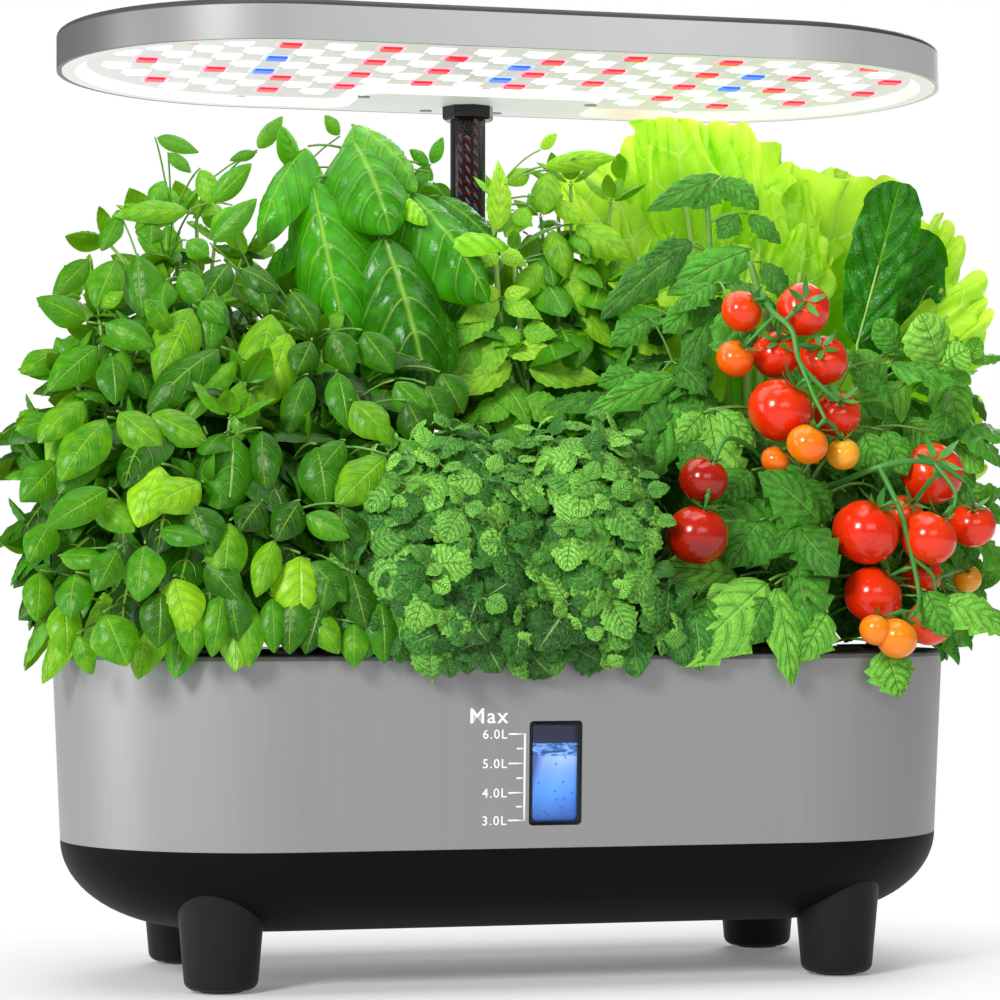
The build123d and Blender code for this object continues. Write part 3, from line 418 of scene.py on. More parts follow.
def leaf_look(
    name, dark, mid, light, vein, laterals, gloss, clear, relief, spots=160.0, strength=0.62, web=0.18,
    groove_shade=0.45,
):
    """A living blade: tone from leaf to leaf, a pale midrib and side veins, painted shade in the hollows
    between the side veins, a puckered waxy skin.
    """
    look = Look(name)
    along, across, tone = look.kept("blade")
    side = look.math("ABSOLUTE", across)
    fine = look.noise(spots, 4.0, 0.6)
    age = look.math("ADD", tone, look.scaled(fine, 0.60, -0.30), clamp=True)
    colour = look.ramp(age, [(0.0, dark), (0.5, mid), (1.0, light)])
    slanted = look.scaled(look.math("POWER", side, VEIN_CURVE), -VEIN_SLANT, along)
    turn = look.math("FRACT", look.math("MULTIPLY", slanted, laterals))
    near = look.math("ABSOLUTE", look.math("SUBTRACT", turn, 0.5))
    branch = look.math("MULTIPLY", look.math("SUBTRACT", near, 0.44), 18.0, clamp=True)
    fade = look.math("SUBTRACT", 1.05, side, clamp=True)
    net = look.node(
        "TexVoronoi",
        {"feature": "DISTANCE_TO_EDGE"},
        Vector=look.node("TexCoord").outputs["Object"],
        Scale=spots * 2.4,
    ).outputs["Distance"]
    lines = look.math("MAXIMUM", look.falling(side, 13.0), look.math("MULTIPLY", branch, fade))
    lines = look.math("MAXIMUM", lines, look.math("MULTIPLY", look.falling(net, 9.0), web))
    # painted shade: the colour darkened in bands between the side veins, where the puckered skin's hollows
    # lie
    painted_valley_shade = look.falling(look.math("ABSOLUTE", look.math("SUBTRACT", near, 0.36)), 9.0)
    darker = look.mix(1.0, colour, (0.30, 0.42, 0.30), "MULTIPLY")
    shaded = look.mix(look.math("MULTIPLY", painted_valley_shade, groove_shade), colour, darker)
    skin = look.mix(look.math("MULTIPLY", lines, strength), shaded, vein)
    height = look.math("SUBTRACT", look.math("MULTIPLY", fine, 0.5), lines)
    normal = look.bump(height, relief, 0.0009)
    front = look.principled(
        Base_Color=skin,
        Roughness=look.scaled(fine, 0.16, gloss - 0.08),
        Specular_IOR_Level=0.26,
        Normal=normal,
    )
    through = look.mix(0.55, skin, light)
    behind = look.node("BsdfTranslucent", Color=through, Normal=normal).outputs[0]
    return look.blend(clear, front, behind)


def stem_look(name, low, high):
    """A juicy stem, its tone set at each piece."""
    look = Look(name)
    fine = look.noise(220.0)
    age = look.math("ADD", look.kept("blade")[2], look.scaled(fine, 0.3, -0.15), clamp=True)
    return look.paint(
        Base_Color=look.ramp(age, [(0.0, low), (1.0, high)]),
        Roughness=0.45,
        Subsurface_Weight=0.1,
        Subsurface_Radius=(0.002, 0.004, 0.001),
        Normal=look.bump(fine, 0.2, 0.0004),
    )


def tomato_look():
    """Ripe skin: colour from fruit to fruit, paler shoulders, a smooth waxy gloss with fine flecks."""
    look = Look("tomato_skin")
    shoulder, _, ripe = look.kept("blade")
    cloud = look.noise(60.0)
    fleck = look.noise(900.0, 2.0)
    age = look.math("ADD", ripe, look.scaled(cloud, 0.16, -0.08))
    age = look.scaled(look.math("POWER", shoulder, 5.0), 0.22, age, clamp=True)
    skin = look.ramp(
        age,
        [
            (0.00, (0.24, 0.004, 0.001)),
            (0.22, (0.78, 0.022, 0.001)),
            (0.48, (0.88, 0.085, 0.002)),
            (0.72, (0.90, 0.25, 0.004)),
            (1.00, (0.82, 0.48, 0.030)),
        ],
    )
    flecks = look.math("MULTIPLY", look.math("GREATER_THAN", fleck, 0.68), 0.10)
    return look.paint(
        Base_Color=look.mix(flecks, skin, (0.95, 0.6, 0.25)),
        Roughness=look.scaled(cloud, 0.08, 0.16),
        Specular_IOR_Level=0.42,
        Subsurface_Weight=0.10,
        Subsurface_Radius=(0.006, 0.002, 0.001),
        Coat_Weight=0.15,
        Coat_Roughness=0.10,
        Normal=look.bump(fleck, 0.03, 0.0002),
    )


LOOKS = {
    "shell": plastic("shell_black", (0.0040, 0.0040, 0.0042), 0.50, relief=0.06, level=0.06),
    "leg": plastic("leg_black", (0.0110, 0.0110, 0.0113), 0.48, relief=0.06, level=0.14),
    "rubber": plastic("black_rubber", (0.010, 0.010, 0.010), 0.75, relief=0.3),
    "basket": plastic("basket_black", (0.009, 0.009, 0.010), 0.5),
    "steel": plastic("steel", (0.48, 0.48, 0.49), 0.3, metal=1.0, grain=500.0),
    "pole": plastic("pole_grey", (0.13, 0.13, 0.135), 0.38, metal=0.3),
    "collar": plastic("collar_black", (0.004, 0.004, 0.0045), 0.22, coat=0.25, relief=0.03, level=0.25),
    "bezel": bezel_look(),
    "button": plastic("button_grey", (0.30, 0.30, 0.31), 0.35),
    "circuit": plastic("circuit_green", (0.010, 0.10, 0.035), 0.4),
    "socket": plastic("socket_black", (0.010, 0.010, 0.010), 0.5),
    "pump": plastic("pump_black", (0.012, 0.012, 0.013), 0.45),
    "rotor": plastic("rotor_white", (0.75, 0.75, 0.74), 0.45),
    # painted glow: the red and white wires glow so that they show through the smoked tube
    "wire_red": plastic("wire_red", (0.70, 0.010, 0.016), 0.35, grain=600.0, painted_glow=1.4),
    "wire_white": plastic("wire_white", (0.85, 0.85, 0.84), 0.35, grain=600.0, painted_glow=1.0),
    "wire_black": plastic("wire_black", (0.012, 0.012, 0.012), 0.3, grain=600.0),
    "print": plastic("scale_print", (0.93, 0.93, 0.93), 0.5, relief=0.02, tint=0.01),
    "sleeve": sleeve_look(),
    "deck": deck_look(),
    "housing": housing_look(),
    "lens": lens_look(),
    "smoked": smoked_look(),
    "sponge": sponge_look(),
    "board": board_look(),
    "white_led": glow("led_white_lit", (1.0, 0.99, 0.97), (0.96, 0.95, 0.92), 1.6),
    "red_led": glow("led_red_lit", (0.86, 0.008, 0.035), (0.70, 0.004, 0.02), 0.95),
    "blue_led": glow("led_blue_lit", (0.015, 0.14, 0.90), (0.008, 0.08, 0.75), 0.95),
    "glare": glare_look(),
    "water": water_look(),
    "basil": leaf_look(
        "basil_leaf", (0.004, 0.045, 0.001), (0.050, 0.275, 0.003),
        (0.340, 0.700, 0.012), (0.46, 0.76, 0.10),
        laterals=5.0, gloss=0.32, clear=0.20, relief=0.6, strength=0.50, web=0.06,
    ),
    "large": leaf_look(
        "large_basil_leaf", (0.003, 0.055, 0.001), (0.042, 0.310, 0.002),
        (0.300, 0.760, 0.012), (0.40, 0.74, 0.07),
        laterals=5.0, gloss=0.24, clear=0.16, spots=90.0, relief=0.8, strength=0.50, web=0.05,
    ),
    "mint": leaf_look(
        "mint_leaf", (0.012, 0.130, 0.006), (0.130, 0.480, 0.014),
        (0.480, 0.860, 0.030), (0.60, 0.90, 0.22),
        laterals=6.0, gloss=0.50, clear=0.25, relief=0.7,
    ),
    "balm": leaf_look(
        "balm_leaf", (0.003, 0.040, 0.004), (0.045, 0.270, 0.024),
        (0.300, 0.760, 0.090), (0.50, 0.90, 0.28),
        laterals=7.0, gloss=0.42, clear=0.10, relief=1.2, spots=260.0, strength=0.80, web=0.22, groove_shade=0.85,
    ),
    "tomato_leaf": leaf_look(
        "tomato_leaf", (0.006, 0.075, 0.004), (0.085, 0.400, 0.025),
        (0.340, 0.820, 0.090), (0.42, 0.80, 0.16),
        laterals=6.0, gloss=0.44, clear=0.14, relief=1.2, spots=200.0, groove_shade=0.60,
    ),
    "lettuce": leaf_look(
        "lettuce_leaf", (0.130, 0.480, 0.002), (0.370, 0.800, 0.006),
        (0.680, 0.960, 0.070), (0.80, 1.00, 0.35),
        laterals=4.0, gloss=0.34, clear=0.40, relief=0.5, spots=70.0, strength=0.40, groove_shade=0.12,
    ),
    "chard": leaf_look(
        "chard_leaf", (0.002, 0.045, 0.001), (0.016, 0.210, 0.001),
        (0.090, 0.460, 0.006), (0.22, 0.60, 0.04),
        laterals=6.0, gloss=0.30, clear=0.12, relief=1.0, spots=110.0,
    ),
    "green_stem": stem_look("green_stem", (0.06, 0.20, 0.02), (0.36, 0.60, 0.12)),
    "truss": stem_look("tomato_truss", (0.012, 0.095, 0.012), (0.07, 0.34, 0.04)),
    "tomato": tomato_look(),
}

CAD_LOOKS = {
    "shell": ["water_tank"],
    "leg": ["leg_front_left", "leg_front_right", "leg_rear_left", "leg_rear_right"],
    "sleeve": ["tank_sleeve"],
    "lens": ["window_lens"],
    "rubber": ["window_gasket", "foot_pads"],
    "steel": ["leg_screws", "pump_shaft", "fill_cap_pin"],
    "deck": ["deck", "fill_cap"],
    "basket": ["basket_%s_%d" % (row, n) for row in ("front", "middle", "rear") for n in (1, 2, 3, 4)],
    "sponge": ["grow_sponges"],
    "pole": ["pole_lower"],
    "smoked": ["pole_upper"],
    "collar": ["pole_collar", "lamp_screws"],
    "housing": ["lamp_housing"],
    "bezel": ["lamp_bezel"],
    "board": ["led_board"],
    "white_led": ["white_leds"],
    "red_led": ["red_leds"],
    "blue_led": ["blue_leds"],
    "button": ["power_button", "mode_button"],
    "circuit": ["control_board"],
    "socket": ["dc_socket", "pump_lead"],
    "pump": ["pump_housing", "pump_cover"],
    "rotor": ["pump_impeller"],
}
for look_name, node_names in CAD_LOOKS.items():
    for node_name in node_names:
        slots = NODES[node_name].data.materials
        for number in range(len(slots)):
            slots[number] = LOOKS[look_name]


# ---------------------------------------------------------------- mesh helpers


def unit(vector):
    """A direction of length one."""
    vector = np.asarray(vector, float)
    return vector / max(np.linalg.norm(vector), 1e-9)


class Shape:
    """Grids of points in millimetres that become one mesh, with a face's look and three numbers a point."""

    def __init__(self, room=None):
        self.points, self.faces, self.blade, self.looks = [], [], [], []
        self.count = 0
        self.room = room  # says whether a leaf may stand there
        self.stems = []  # points that carry leaves

    def grid(self, points, along, across, tone, look=0, free=False):
        """Adds a sheet and says so, unless it has no room; a free sheet needs none."""
        rows, cols = points.shape[:2]
        flat = points.reshape(-1, 3)
        if self.room is not None and not free and not self.room(flat):
            return False
        corner = (np.arange(rows - 1)[:, None] * cols + np.arange(cols - 1)[None, :]).ravel()
        quads = np.stack([corner, corner + 1, corner + cols + 1, corner + cols], 1) + self.count
        data = np.stack([value + np.zeros((rows, cols)) for value in (along, across, tone)], -1)
        self.points.append(flat)
        self.faces.append(quads)
        self.blade.append(data.reshape(-1, 3))
        self.looks.append(np.full(len(quads), look))
        self.count += len(flat)
        return True

    def build(self, name, looks, body, slot, replaced=(), attribute="blade"):
        points = np.concatenate(self.points) * MM
        faces = np.concatenate(self.faces)
        mesh = bpy.data.meshes.new(name)
        mesh.vertices.add(len(points))
        mesh.vertices.foreach_set("co", points.astype(np.float32).ravel())
        mesh.loops.add(faces.size)
        mesh.loops.foreach_set("vertex_index", faces.astype(np.int32).ravel())
        mesh.polygons.add(len(faces))
        mesh.polygons.foreach_set("loop_start", np.arange(0, faces.size, 4, dtype=np.int32))
        for look in looks:
            mesh.materials.append(LOOKS[look])
        mesh.polygons.foreach_set("material_index", np.concatenate(self.looks).astype(np.int32))
        mesh.polygons.foreach_set("use_smooth", np.full(len(faces), True))
        data = mesh.attributes.new(attribute, "FLOAT_VECTOR", "POINT")
        data.data.foreach_set("vector", np.concatenate(self.blade).astype(np.float32).ravel())
        mesh.update(calc_edges=True)
        mesh.validate()
        piece = bpy.data.objects.new(name, mesh)
        bpy.context.scene.collection.objects.link(piece)
        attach(piece, body)
        if replaced:
            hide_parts(*replaced)
        return piece


def thicken(piece, name, millimetres):
    """Gives a sheet its thickness, half to each side."""
    solid = piece.modifiers.new(name, "SOLIDIFY")
    solid.thickness = millimetres * MM
    solid.offset = 0.0


def placed(points, origin, direction, up):
    """Points drawn with y along the leaf and z off its face, moved to a leaf's place."""
    y = unit(direction)
    x = np.cross(y, unit(up))
    if np.linalg.norm(x) < 1e-3:
        x = np.cross(y, (0.3, 1.0, 0.2))
    x = unit(x)
    z = np.cross(x, y)
    moved = np.asarray(origin, float) + points[..., 0:1] * x + points[..., 1:2] * y
    return moved + points[..., 2:3] * z


def leaf(
    length, width, rows=13, cols=9, peak=0.42, full=0.8, laterals=5.0, pucker=0.05, cup=0.25, fold=0.0,
    bend=0.7, curl=1.4, twist=0.0, teeth=0, tooth=0.0, wave=0.0, waves=2.0, phase=0.0, crinkle=0.0,
):
    """A leaf's grid, its stalk end at the origin: outline, cup, fold, puckered skin, bend and twist."""
    u = np.linspace(0.004, 0.997, rows)[:, None]
    v = np.linspace(-1, 1, cols)[None, :]
    half = np.sin(np.pi * u ** (math.log(0.5) / math.log(peak))) ** full * width / 2
    half = np.maximum(half, 0.25)
    side = np.abs(v)
    if teeth:
        saw = (u * teeth) % 1.0
        half = half * (1 + tooth * (0.5 - saw) * side**4)
    x = half * v + 0 * u
    vein = laterals * (u - VEIN_SLANT * side**VEIN_CURVE)
    bulge = (0.5 - 0.5 * np.cos(2 * np.pi * (vein - 0.5))) * np.sqrt(side * (1.02 - side) * 4 + 1e-6)
    z = pucker * width * bulge * np.sin(np.pi * u) ** 0.5
    z = z - cup * half * side**2 + fold * half * side
    creases = np.sin(17 * u + 4 * v + phase) * np.cos(5 * v - 6 * u) + 0.6 * np.sin(31 * u - 7 * v)
    z = z + crinkle * width * creases * np.sin(np.pi * u) * side**0.5
    z = z + wave * half * side**3 * np.sin(2 * np.pi * waves * u + phase + (v > 0) * 1.7)
    turn = twist * (u - 0.2)
    x, z = x * np.cos(turn) - z * np.sin(turn), x * np.sin(turn) + z * np.cos(turn)
    angle = bend * u**curl
    step = length / rows
    centre_y = np.cumsum(np.cos(angle), 0) * step
    centre_z = -np.cumsum(np.sin(angle), 0) * step
    points = np.stack([x, centre_y + z * np.sin(angle), centre_z + z * np.cos(angle)], -1)
    return points, u + 0 * v, v + 0 * u


def spoke(side, other, angle):
    """A direction round a stem."""
    return np.cos(angle) * side + np.sin(angle) * other


def tube(shape, path, radii, tone, look=1, sides=7):
    """A round stem along a path of points, closed at its tip."""
    path = np.asarray(path, float)
    radii = np.broadcast_to(np.asarray(radii, float), (len(path),))
    tangents = np.gradient(path, axis=0)
    ring = np.linspace(0, 2 * np.pi, sides + 1)[:, None]
    rows = []
    side = np.cross(unit(tangents[0]), (0.31, 0.87, 0.38))
    for point, tangent, radius in zip(path, tangents, radii):
        t = unit(tangent)
        side = unit(side - t * (side @ t))
        rows.append(point + radius * spoke(side, np.cross(t, side), ring))
    rows.append(np.repeat(path[-1][None, :], sides + 1, 0))
    points = np.array(rows)
    along = np.linspace(0, 1, len(points))[:, None]
    shape.grid(points, along, 2.0, tone, look, free=True)


def arc(start, middle, end, steps):
    """A smooth path past three points."""
    a, b, c = (np.asarray(p, float) for p in (start, middle, end))
    b = 2 * b - (a + c) / 2
    t = np.linspace(0, 1, steps)[:, None]
    return (1 - t) ** 2 * a + 2 * t * (1 - t) * b + t**2 * c


def smooth_path(knots):
    """A path through every given point."""
    steps = 8
    knots = np.asarray(knots, float)
    padded = np.vstack([2 * knots[0] - knots[1], knots, 2 * knots[-1] - knots[-2]])
    t = np.linspace(0, 1, steps, endpoint=False)[:, None]
    out = []
    for a, b, c, d in zip(padded, padded[1:], padded[2:], padded[3:]):
        bow = (2 * a - 5 * b + 4 * c - d) * t**2 + (3 * b - a - 3 * c + d) * t**3
        out.append(0.5 * (2 * b + (c - a) * t + bow))
    return np.vstack(out + [knots[-1:]])


def roomy(y_low=-126.0, z_low=100.0):
    """Leaves keep clear of the tank's wall, the deck, the lamp, the pole and the filling port's shaft."""
    low_corner, high_corner = (-255.0, y_low, z_low), (266.0, 124.0, 425.0)
    wall_gap, pole_gap = 1.5, 15.5
    port_low, port_high = (-25.0, -28.0, -math.inf), (25.0, 33.0, 212.0)

    def test(points):
        if (points.min(0) < low_corner).any() or (points.max(0) > high_corner).any():
            return False
        low = points[points[:, 2] < DECK_Z + 3.0]
        outside = np.hypot(np.maximum(np.abs(low[:, 0]) - END_X, 0), low[:, 1]) - END_R
        if len(low) and outside.min() < wall_gap:
            return False
        if (np.hypot(points[:, 0], points[:, 1] - POLE_Y) < pole_gap).any():
            return False
        return not ((points > port_low) & (points < port_high)).all(1).any()

    return test


# ---------------------------------------------------------------- plants


def seen(px, py, y):
    """The point at depth y millimetres that stands at one place of the front view, in thousandths."""
    turn = (px - MIDDLE_PX) / FOCAL_PX
    x = (turn * (EYE_AWAY + EYE_COS * y) + EYE_SIN * y) / (EYE_COS - EYE_SIN * turn)
    away = EYE_AWAY + EYE_SIN * x + EYE_COS * y
    return np.array([x, y, EYE_Z + (HORIZON_PY - py) * away / FOCAL_PX])


def pod_top(name):
    """Where a plant's stems leave its pod."""
    return np.array([*PODS[name], DECK_Z + 1.0])


def start_plant(name, seed, **limits):
    """A plant's random draws, its empty shape, whose leaves keep within limits, and its pod's top."""
    shape = Shape(roomy(**limits))
    return np.random.default_rng(seed), shape, pod_top(name)


def vary(rng, tone, low, high):
    """One leaf's tone, near its plant's."""
    return np.clip(tone + rng.uniform(low, high), 0, 1)


def across_of(axis, hint=(0.2, 0.3, 0.93), steep=0.9, spare=(1.0, 0.1, 0.0)):
    """Two directions square to a stem."""
    side = unit(np.cross(axis, hint if abs(axis[2]) < steep else spare))
    return side, np.cross(axis, side)


def spiral(number, height, rng, jitter):
    """A direction at one height of a golden spiral round a ball."""
    around = GOLDEN_TURN * number + rng.uniform(-jitter, jitter)
    ring = math.sqrt(max(0.0, 1 - height**2))
    return np.array([ring * math.cos(around), ring * math.sin(around), height])


def put_leaf(shape, origin, direction, up, length, width, tone, stalk=0.15, look=0, **form):
    """One leaf on its stalk."""
    direction = unit(direction)
    base = np.asarray(origin, float) + direction * length * stalk
    points, along, across = leaf(length, width, **form)
    if not shape.grid(placed(points, base, direction, up), along, across, tone, look):
        return False
    if stalk > 0:
        path = arc(origin, (np.asarray(origin) + base) / 2, base + direction * 0.6, 4)
        tube(shape, path, 0.012 * width + 0.30, 0.30, 1, 5)
    return True


def carry(shape, base, radius=0.9):
    """A stalk from the nearest stem point that is not above the leaf's base."""
    stems = np.array(shape.stems)
    cost = np.linalg.norm(stems - base, axis=1) + 1.5 * np.maximum(stems[:, 2] - base[2] + 4, 0)
    root = stems[np.argmin(cost)]
    middle = (root + base) / 2 + (0, 0, 0.10 * np.linalg.norm(base - root))
    tube(shape, arc(root, middle, base, 7), np.linspace(radius * 1.25, radius, 7), 0.25, 1, 6)


def hang(shape, base, tip, face, width, tone, bend, look=0, **form):
    """A leaf between two points, moved back a little where something is in its way."""
    base, tip, face = (np.asarray(p, float) for p in (base, tip, face))
    length = np.linalg.norm(tip - base) * (1 + 0.10 * bend)
    direction = unit(unit(tip - base) + unit(face) * bend * 0.45)
    form.update(stalk=0.0, look=look, bend=bend)
    for back in (0.0, 5.0, 10.0, -5.0, 16.0):
        start = base + (0, back, 0)
        if put_leaf(shape, start, direction, face, length, width, tone, **form):
            carry(shape, start, 0.011 * width + 0.35)
            return


def from_front(shape, rng, leaves, depth, form, look=0, swing=0.35):
    """Leaves seen from the front; the tables below say what each row holds."""
    for px, py, tip_px, tip_py, width, tone, forward in leaves:
        y = depth(px, py)
        base = seen(px, py, y)
        tip = seen(tip_px, tip_py, y - forward)
        face = unit(np.array([-0.24, -0.97, 0.35]) + rng.uniform(-swing, swing, 3) * (1, 0.2, 0.6))
        hang(
            shape, base, tip, face, width * LEAF_PX, vary(rng, tone, -0.04, 0.04), look=look,
            bend=rng.uniform(0.45, 0.9), twist=rng.uniform(-0.25, 0.25), **form,
        )


def rosette(shape, point, axis, turn, size, tone, rng, share, rise=0.9, **form):
    """The small crossed leaves at a shoot's tip."""
    pairs = 2
    axis = unit(axis)
    side, other = across_of(axis)
    for pair in range(pairs):
        grow = size * (0.50 + 0.5 * (pairs - pair) / pairs)
        lift = rise + 0.35 * pair
        for half in (0, 1):
            out = spoke(side, other, turn + pair * np.pi / 2 + half * np.pi)
            direction = spoke(out, axis, lift)
            up = -np.sin(lift) * out + np.cos(lift) * axis
            put_leaf(
                shape, point + axis * pair * 1.5, direction, up, grow, grow * share,
                min(1.0, tone + rng.uniform(-0.05, 0.12)), stalk=0.05, **form,
            )


def shoot(shape, path, size, tone, rng, share=0.60, pairs=4, start=0.35, radius=1.5, **form):
    """A stem with crossed pairs of leaves, smaller towards a tip rosette."""
    droop = 0.45
    path = np.asarray(path, float)
    steps = len(path) - 1
    stem_tone = 0.30 + rng.uniform(-0.15, 0.15)
    tube(shape, path, np.linspace(radius, radius * 0.6, len(path)), stem_tone)
    shape.stems.extend(path[steps // 3 :])
    turn = rng.uniform(0, np.pi)
    tangents = np.gradient(path, axis=0)
    for pair in range(pairs):
        at = (start + (0.96 - start) * (pair + 0.35) / pairs) * steps
        low = min(int(at), steps - 1)
        point = path[low] + (path[low + 1] - path[low]) * (at - low)
        axis = unit(tangents[low])
        side, other = across_of(axis, (0.15, 0.35, 0.92), 0.93, (1.0, 0.2, 0.0))
        grow = size * (1.0 - 0.38 * (pair / max(pairs - 1, 1)) ** 1.6) * rng.uniform(0.80, 1.15)
        lift = 0.05 + 0.5 * pair / pairs + rng.uniform(-0.2, 0.2)
        for half in (0, 1):
            angle = turn + pair * np.pi / 2 + half * np.pi + rng.uniform(-0.25, 0.25)
            out = spoke(side, other, angle)
            direction = unit(spoke(out, axis, lift) + (0, 0, -droop))
            up = unit(-np.sin(lift) * out + np.cos(lift) * axis + out * 0.4 * droop)
            up = unit(up - direction * (up @ direction))
            put_leaf(
                shape, point, direction, up, grow, grow * share * rng.uniform(0.9, 1.1),
                vary(rng, tone, -0.28, 0.22), stalk=0.16,
                bend=rng.uniform(0.5, 1.3), twist=rng.uniform(-0.35, 0.35), **form,
            )
    rosette(shape, path[-1], tangents[-1], turn, size * 0.55, tone + 0.15, rng, share, **form)


def main_stem(shape, knots, thick, thin, tone, sides=9, bare_foot=False):
    """A thick stem through its knots, which carries leaves."""
    path = smooth_path(knots)
    tube(shape, path, np.linspace(thick, thin, len(path)), tone, sides=sides)
    shape.stems.extend(path[len(path) // 3 :] if bare_foot else path)
    return path


# Leaves of the front view: base px, py, tip px, py, width, tone, how far the tip comes forward
BASIL_FRONT_LEAVES = [
    (300, 553, 300, 625, 54, 0.95, 6), (174, 576, 189, 631, 45, 0.85, 6),
    (145, 543, 139, 600, 42, 0.5, 8), (222, 592, 212, 655, 29, 0.55, 5),
    (249, 604, 249, 665, 29, 0.6, 4), (272, 596, 274, 651, 27, 0.5, 5), (310, 610, 338, 652, 29, 0.6, 4),
    (354, 622, 354, 666, 28, 0.55, 4), (104, 612, 126, 664, 46, 0.52, 6),
    (64, 600, 66, 655, 34, 0.65, 6), (77, 634, 92, 673, 22, 0.6, 3), (76, 572, 70, 616, 38, 0.45, 10),
    (58, 556, 106, 560, 26, 0.55, 10), (110, 488, 48, 526, 34, 0.5, 12),
    (96, 497, 133, 531, 34, 0.6, 10), (162, 464, 139, 525, 44, 0.9, 8),
    (203, 482, 152, 507, 42, 0.8, 10), (192, 504, 210, 554, 44, 0.22, 8),
    (230, 520, 223, 588, 40, 0.62, 6), (275, 538, 257, 595, 28, 0.66, 7),
    (304, 514, 348, 537, 28, 0.55, 8), (342, 504, 346, 562, 42, 0.15, 6),
    (193, 600, 193, 657, 32, 0.55, 5), (118, 548, 96, 590, 30, 0.35, 8),
    (233, 432, 227, 512, 54, 0.45, 8), (262, 428, 267, 492, 34, 0.25, 8),
    (316, 444, 326, 508, 44, 0.32, 6), (388, 455, 338, 505, 44, 0.66, 8),
    (108, 417, 62, 478, 45, 0.55, 10), (117, 411, 162, 451, 38, 0.62, 10),
    (149, 413, 206, 443, 36, 0.6, 8), (158, 530, 205, 540, 26, 0.45, 8),
    (262, 500, 240, 530, 34, 0.12, 6), (300, 500, 276, 540, 34, 0.12, 6),
    (310, 560, 345, 600, 34, 0.3, 6), (205, 560, 240, 600, 34, 0.25, 6),
    (330, 560, 322, 612, 34, 0.2, 6), (40, 570, 36, 620, 30, 0.55, 8), (52, 520, 30, 560, 34, 0.5, 8),
    (294, 592, 290, 652, 36, 0.3, 4), (324, 590, 306, 652, 36, 0.22, 4),
    (230, 580, 240, 640, 34, 0.25, 4), (160, 590, 158, 646, 36, 0.22, 4),
    (380, 600, 384, 661, 34, 0.4, 4), (350, 570, 366, 630, 36, 0.2, 4),
]
BASIL_END_LEAVES = [
    (88, 322, 40, 298, 32, 0.5, 6), (103, 323, 152, 346, 30, 0.55, 8), (99, 345, 50, 388, 36, 0.45, 10),
    (111, 354, 115, 403, 32, 0.35, 8), (79, 386, 52, 478, 38, 0.62, 10), (90, 258, 54, 296, 26, 0.4, 6),
    (116, 258, 96, 306, 36, 0.55, 10), (138, 254, 143, 316, 42, 0.38, 6),
    (85, 400, 40, 440, 36, 0.6, 10), (60, 460, 22, 500, 36, 0.5, 8), (60, 350, 22, 372, 30, 0.55, 6),
    (120, 215, 102, 250, 22, 0.45, 6), (100, 306, 122, 292, 18, 0.7, 4), (60, 420, 18, 428, 30, 0.55, 6),
    (95, 440, 60, 492, 38, 0.35, 8),
]
BASIL_MIDDLE_LEAVES = [
    (193, 305, 158, 382, 47, 0.66, 10), (222, 347, 150, 409, 44, 0.28, 10),
    (239, 358, 182, 424, 27, 0.55, 8), (272, 310, 254, 410, 50, 0.72, 8),
    (290, 330, 262, 408, 44, 0.85, 4), (214, 290, 210, 354, 34, 0.4, 8),
    (254, 262, 267, 312, 34, 0.22, 10), (210, 243, 255, 200, 28, 0.45, 4),
    (212, 203, 250, 165, 24, 0.5, 3), (308, 374, 288, 434, 32, 0.3, 8),
    (337, 370, 347, 427, 32, 0.48, 8), (352, 400, 387, 438, 40, 0.66, 8),
    (250, 390, 240, 440, 30, 0.55, 6), (230, 262, 205, 300, 30, 0.18, 8),
    (240, 268, 278, 290, 26, 0.2, 8), (290, 290, 316, 330, 30, 0.25, 6),
    (330, 330, 352, 372, 34, 0.3, 6), (362, 330, 392, 372, 36, 0.32, 6),
    (394, 380, 430, 420, 34, 0.5, 6), (312, 340, 296, 374, 32, 0.2, 6),
    (400, 440, 424, 470, 28, 0.55, 6), (392, 446, 380, 424, 18, 0.6, 4),
    (345, 440, 320, 470, 28, 0.4, 6), (170, 330, 148, 300, 26, 0.55, 6),
    (426, 384, 446, 430, 38, 0.22, 2), (406, 400, 428, 446, 38, 0.2, 2),
    (440, 372, 462, 412, 34, 0.25, 2),
]
BASIL_REAR_LEAVES = [
    (191, 211, 117, 215, 26, 0.62, 4), (155, 137, 197, 152, 18, 0.42, 4),
    (168, 152, 190, 172, 16, 0.35, 3), (257, 150, 281, 117, 20, 0.5, 2),
    (257, 152, 231, 160, 12, 0.4, 2), (340, 136, 326, 116, 16, 0.45, 2),
    (200, 168, 213, 205, 24, 0.6, 4), (165, 180, 150, 205, 20, 0.55, 4),
    (175, 205, 148, 228, 26, 0.5, 4), (152, 222, 150, 243, 30, 0.4, 4), (186, 240, 208, 256, 24, 0.5, 4),
    (232, 205, 214, 240, 24, 0.55, 4), (180, 270, 200, 304, 28, 0.55, 6),
    (166, 280, 160, 310, 26, 0.45, 6), (200, 300, 222, 322, 26, 0.5, 6),
]
BIG_BASIL_SPRIG_LEAVES = [
    (430, 166, 411, 150, 15, 0.45, 2), (431, 165, 442, 138, 15, 0.5, 2),
    (430, 172, 414, 184, 14, 0.4, 2),
]
